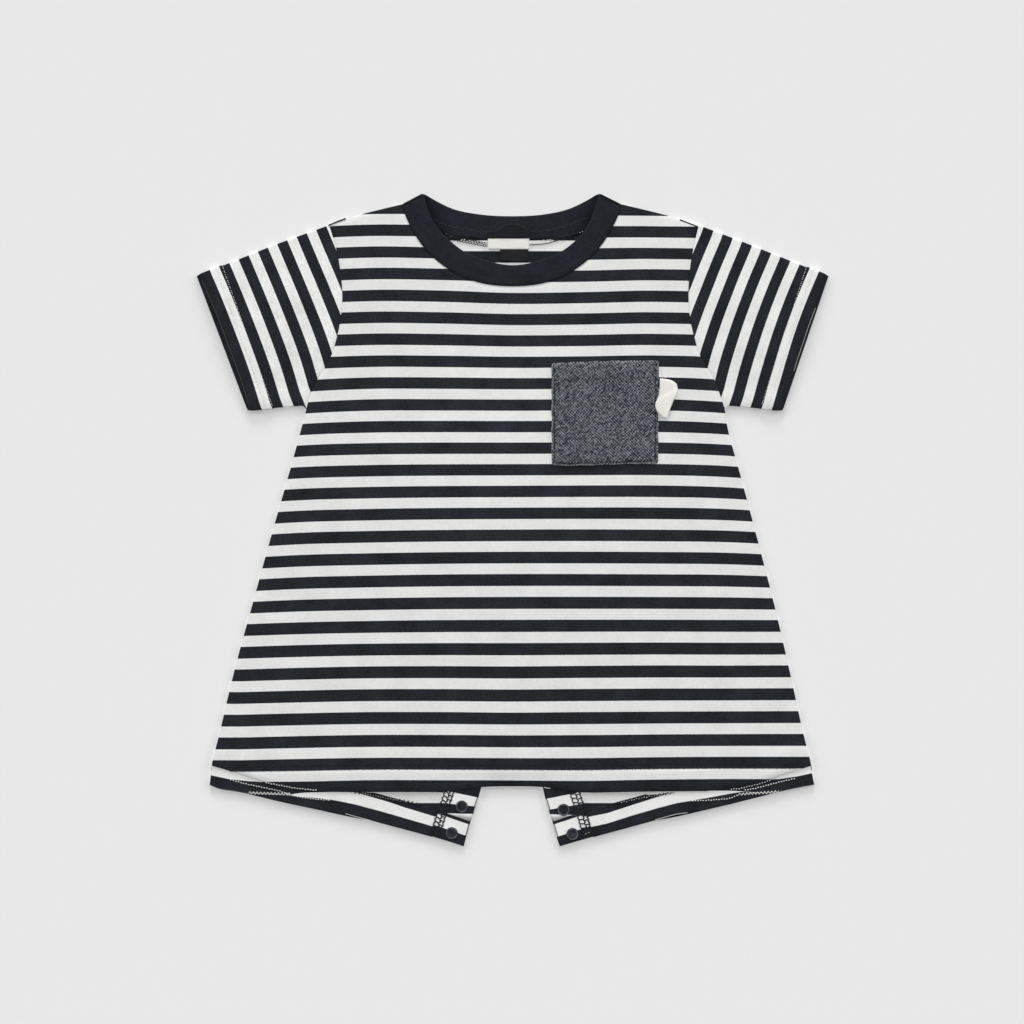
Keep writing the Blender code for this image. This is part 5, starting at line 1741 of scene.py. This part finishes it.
def make_snap(snap):
    """A snap's socket, turned about its own axis."""
    points, edge = [(0.0, 0.0, SNAP_PROFILE[0][1])], [0.0]
    for radius, height in SNAP_PROFILE[1:]:
        for k in range(SNAP_SIDES):
            angle = 2 * math.pi * k / SNAP_SIDES
            points.append((radius * math.cos(angle), radius * math.sin(angle), height))
            # painted highlight: a lighter ring along the rim
            wear_and_highlight = math.exp(-(((radius - SNAP_RING) / SNAP_RING_WIDTH) ** 2))
            edge.append(wear_and_highlight if height > SNAP_RING_FOOT else 0.0)
    points.append((0.0, 0.0, 0.0))
    edge.append(0.0)
    last = len(points) - 1
    faces = []
    for k in range(SNAP_SIDES):
        after = (k + 1) % SNAP_SIDES
        faces.append([0, 1 + k, 1 + after])
        for ring in range(len(SNAP_PROFILE) - 2):
            near, far = 1 + ring * SNAP_SIDES, 1 + (ring + 1) * SNAP_SIDES
            faces.append([near + k, far + k, far + after, near + after])
        foot = 1 + (len(SNAP_PROFILE) - 2) * SNAP_SIDES
        faces.append([foot + k, last, foot + after])
    lifted = np.array(points) + (snap.across, snap.height, FACING_TOP + SEAM_GAP)
    marks = {"edge": np.array(edge), "tone": np.full(len(points), snap.tone)}
    piece = make_piece(snap.name + "_cap", lifted, faces, ENAMEL, marks)
    return settle(piece, "snap", snap.name)


# Sewing


def thread_run(name, lines, radius, material, slot):
    """Threads along lines of points in millimetres, each a thin tube with closed ends."""
    points, faces = [], []
    around = [2 * math.pi * k / THREAD_SIDES for k in range(THREAD_SIDES)]
    for line in lines:
        line = np.asarray(line, float)
        way = np.gradient(line, axis=0)
        way /= np.linalg.norm(way, axis=1)[:, None] + 1e-9
        aside = np.stack([-way[:, 1], way[:, 0], 0 * way[:, 0]], axis=1)
        aside /= np.linalg.norm(aside, axis=1)[:, None] + 1e-9
        over = np.cross(way, aside)
        taper = np.ones(len(line))
        taper[[0, -1]] = THREAD_TAPER
        start = len(points)
        for spot, a, o, part in zip(line, aside, over, taper):
            points += [spot + radius * part * (a * math.cos(t) + o * math.sin(t)) for t in around]
        faces += (net_faces(len(line), THREAD_SIDES, ring=True) + start).tolist()
        end = len(points) - THREAD_SIDES
        faces += [[start + k for k in range(THREAD_SIDES)][::-1], [end + k for k in range(THREAD_SIDES)]]
    piece = turned_out(make_piece(name, points, faces, material))
    return settle(piece, slot)


def stitches(path, surface, length, gap, wander, radius):
    """Stitches along a path: short arched threads that lie on a surface."""
    path = np.asarray(path, float)
    steps = np.linspace(0, 1, STITCH_POINTS)
    arch = radius * STITCH_ARCH * np.sin(math.pi * steps) - radius * STITCH_SINK
    lines = []
    for k, start in enumerate(np.arange(0, lengths(path)[-1] - length, length + gap)):
        spots = at_places(path, start + length * steps)
        spots[:, 1] += wander * math.sin(k * STITCH_TURN)
        lines.append(np.column_stack([spots, surface(spots) + arch]))
    return lines


def zigzag(path, surface, width, pitch, lift):
    """One thread that runs to and fro across a path."""
    path = np.asarray(path, float)
    spots = at_places(path, np.arange(0, lengths(path)[-1], pitch / 2))
    turns = np.where(np.arange(len(spots)) % 2, 1, -1)
    spots = spots + beside(spots) * (width / 2) * turns[:, None]
    return np.column_stack([spots, surface(spots) + lift])


def on_top(spots):
    """The front's face, or the facings' where the front ends."""
    spots = np.asarray(spots)
    over_hem = spots[:, 1] > hem_height(spots[:, 0])
    return np.where(over_hem, front_top(spots), FACING_TOP)


def on_pocket(spots):
    return front_top(np.asarray(spots)) + SEAM_GAP + WALL


def level(height):
    """A level surface."""
    return lambda spots: np.full(len(spots), height)


def overlock(path, surface, width, pitch):
    """Overlock over a raw edge: wavy threads along it, and rungs between them."""
    path = evenly(path, int(lengths(path)[-1] / pitch * OVERLOCK_STEPS))
    aside = beside(path)
    turn = 2 * math.pi * lengths(path) / pitch
    waves = [part * width / 2 + OVERLOCK_WAVE * np.sin(turn + 2 * part) for part in OVERLOCK_THREADS]
    left, middle, right = (path + aside * wave[:, None] for wave in waves)
    lines = [left, middle, right]
    for k in range(3, len(path) - 6, OVERLOCK_STEPS):
        lines.append(np.linspace(left[k], middle[k + 2], 4))
        lines.append(np.linspace(middle[k + 4], right[k + 5], 4))
        lines.append(np.linspace(middle[k], middle[k] + aside[k] * TUFT, 3))
    return [np.column_stack([line, surface(line) + OVERLOCK_LIFT]) for line in lines]


def cuff_lip_highlight(side):
    """The line along the edge of a cuff's upper layer, where a painted highlight runs."""
    top, bottom = (np.array(spot) for spot in CUFF_LINES[side])
    inward = unit((-side, 0), bottom - top)
    parts = np.linspace(*LIP_SPAN[side], ROW_STEPS)
    inset = cuff_inset(parts, side) + STITCH_SET_BACK
    return top + parts[:, None] * (bottom - top) + inward * inset[:, None]


def worked_rows():
    """Rows of sewing along edges that other tables give, and painted highlights along the cuffs' edges."""
    across = np.linspace(*HEM_ROW_ENDS, HEM_ROW_STEPS)
    hem = np.stack([across, hem_stitch_height(across) - STITCH_SET_BACK], axis=1)
    rows = [
        ("front_hem_stitching", hem, "top", "stitches", (1.4, 0.5, 0.1), "black", 0.26),
        ("front_hem_upper_row", hem + (0, HEM_ROW_GAP), "top", "stitches", (1.6, 0.8, 0.1), "black", 0.22),
    ]
    # painted highlight: a thin lighter thread along each cuff's upper layer stands in for the light its edge
    # catches
    for side, word, thread in ((-1, "left", "dim"), (1, "right", "grey")):
        rows.append((f"cuff_{word}_edge", cuff_lip_highlight(side), "sleeve_" + word, "run", (0.0,), thread, 0.2))
    for side, word in ((-1, "left"), (1, "right")):
        for ends, (row, sizes, thread, radius) in zip(CUFF_ROWS[side], CUFF_SEWING):
            name, line = f"cuff_{word}_{row}_row", evenly(ends, ROW_STEPS)
            rows.append((name, line, "sleeve_" + word, "stitches", sizes, thread, radius))
    plan = pocket_plan()
    left, foot, right = (line[2:-2] for line in (plan[:, 0], plan[0], plan[:, -1]))
    for name, line, sizes, thread, radius in (
        ("topstitch_left", left[::-1] + (POCKET_STITCH, 0), (2.0, 0.8, 0.12), "black", 0.44),
        ("topstitch_foot", foot + (0, POCKET_STITCH), (1.4, 0.8, 0.15), "black", 0.42),
        ("topstitch_right", right - (POCKET_STITCH, 0), (1.8, 0.9, 0.1), "black", 0.40),
        ("yarn_ends_left", left + (YARN_END_INSET, 0), (0.5, 2.3, 0.4), "grey", 0.26),
        ("yarn_ends_foot", foot + (0, YARN_END_INSET), (0.5, 1.3, 0.1), "grey", 0.26),
        ("hem_row", plan[-1, 3:-3] - (0, POCKET_HEM), (1.4, 1.0, 0.1), "black", 0.22),
    ):
        rows.append(("pocket_" + name, line, "pocket", "stitches", sizes, thread, radius))
    return rows


def make_sewing():
    surfaces = {
        "facing": level(FACING_TOP),
        "inside": level(ON_BACK + OVER_BACK),
        "band": level(RIB_WALL),
        "label": level(RIB_WALL + SEAM_GAP + WALL + OVER_LABEL),
        "top": on_top,
        "pocket": on_pocket,
        "sleeve_left": lambda spots: sleeve_top(spots, -1),
        "sleeve_right": lambda spots: sleeve_top(spots, 1),
    }
    for row in (Sewn(*values) for values in worked_rows() + HAND_ROWS):
        surface = surfaces[row.surface]
        if row.kind == "stitches":
            lines = stitches(row.path, surface, *row.sizes, row.radius)
        elif row.kind == "overlock":
            lines = overlock(row.path, surface, *row.sizes)
        elif row.kind == "loops":
            lines = [zigzag(row.path, surface, *row.sizes, row.radius * LOOP_LIFT)]
        else:
            path = evenly(row.path, RUN_STEPS)
            lines = [np.column_stack([path, surface(path) + row.sizes[0]])]
        thread_run(row.name, lines, row.radius, THREADS[row.thread], "striped_jersey")


def main():
    for other in [o for o in bpy.data.objects if o.type in ("LIGHT", "CAMERA")]:
        bpy.data.objects.remove(other)
    make_front()
    make_sleeve("sleeve_left", -1)
    make_sleeve("sleeve_right", 1)
    make_neckband()
    make_pocket()
    make_tab()
    labels = [
        make_label("collar_label", COLLAR_LABEL, RIB_WALL + SEAM_GAP, BLACK, "dark_label", COLLAR_CROWN),
        make_label("cream_label", CREAM_LABEL, ON_BACK, CREAM, "cream_label"),
        make_label("small_label", SMALL_LABEL, ON_BACK, FADED_BLACK, "dark_label"),
    ]
    make_back()
    for side, word in ((-1, "left"), (1, "right")):
        make_facing("leg_facing_" + word, side)
        make_placket("placket_" + word, side)
    for snap in SNAPS:
        make_snap(snap)
    make_sewing()
    make_studio()


# Table, light and camera

# Lamps: name, height of the light in degrees, turn to the side, spread, share of the light on the table
LAMPS = [
    ("lamp_overhead", 90.0, 0.0, 12.0, 0.49),
    ("lamp_high", 48.0, 0.0, 30.0, 0.04),
    ("lamp_left", 23.0, 60.0, 24.0, 0.115),
    ("lamp_right", 23.0, -60.0, 24.0, 0.115),
    ("lamp_low", 17.0, 0.0, 16.0, 0.17),
]
VIEW_WIDTH = 0.7168
LENS = 150.0
SENSOR = 36.0
VIEW_CENTRE = (-0.00042, 0.00525)
VIEW_END = 50.0
TABLE_HALF = 3.0
TABLE_BELOW = 0.0001


def make_studio():
    corners = ((-1, -1), (1, -1), (1, 1), (-1, 1))
    mesh = bpy.data.meshes.new("table")
    mesh.from_pydata([(x * TABLE_HALF, y * TABLE_HALF, 0) for x, y in corners], [], [(0, 1, 2, 3)])
    mesh.materials.append(table_paper())
    table = bpy.data.objects.new("table", mesh)
    table.location.z = -TABLE_BELOW
    bpy.context.scene.collection.objects.link(table)
    world = bpy.data.worlds.new("studio")
    world.use_nodes = True
    sky = world.node_tree.nodes["Background"]
    sky.inputs["Color"].default_value = (1, 1, 1, 1)
    sky.inputs["Strength"].default_value = 1 - sum(lamp[-1] for lamp in LAMPS)
    bpy.context.scene.world = world
    for name, height, turn, spread, part in LAMPS:
        sun = bpy.data.lights.new(name, "SUN")
        sun.energy = part * math.pi / math.sin(math.radians(height))
        sun.angle = math.radians(spread)
        lamp = bpy.data.objects.new(name, sun)
        lamp.rotation_euler = (-math.radians(90 - height), 0, math.radians(turn))
        bpy.context.scene.collection.objects.link(lamp)
    camera = bpy.data.cameras.new("overhead")
    camera.lens = LENS
    camera.sensor_width = SENSOR
    camera.clip_end = VIEW_END
    stand = bpy.data.objects.new("overhead", camera)
    stand.location = (*VIEW_CENTRE, LENS / SENSOR * VIEW_WIDTH)
    bpy.context.scene.collection.objects.link(stand)
    bpy.context.scene.camera = stand
    bpy.context.scene.view_settings.view_transform = "Standard"


main()
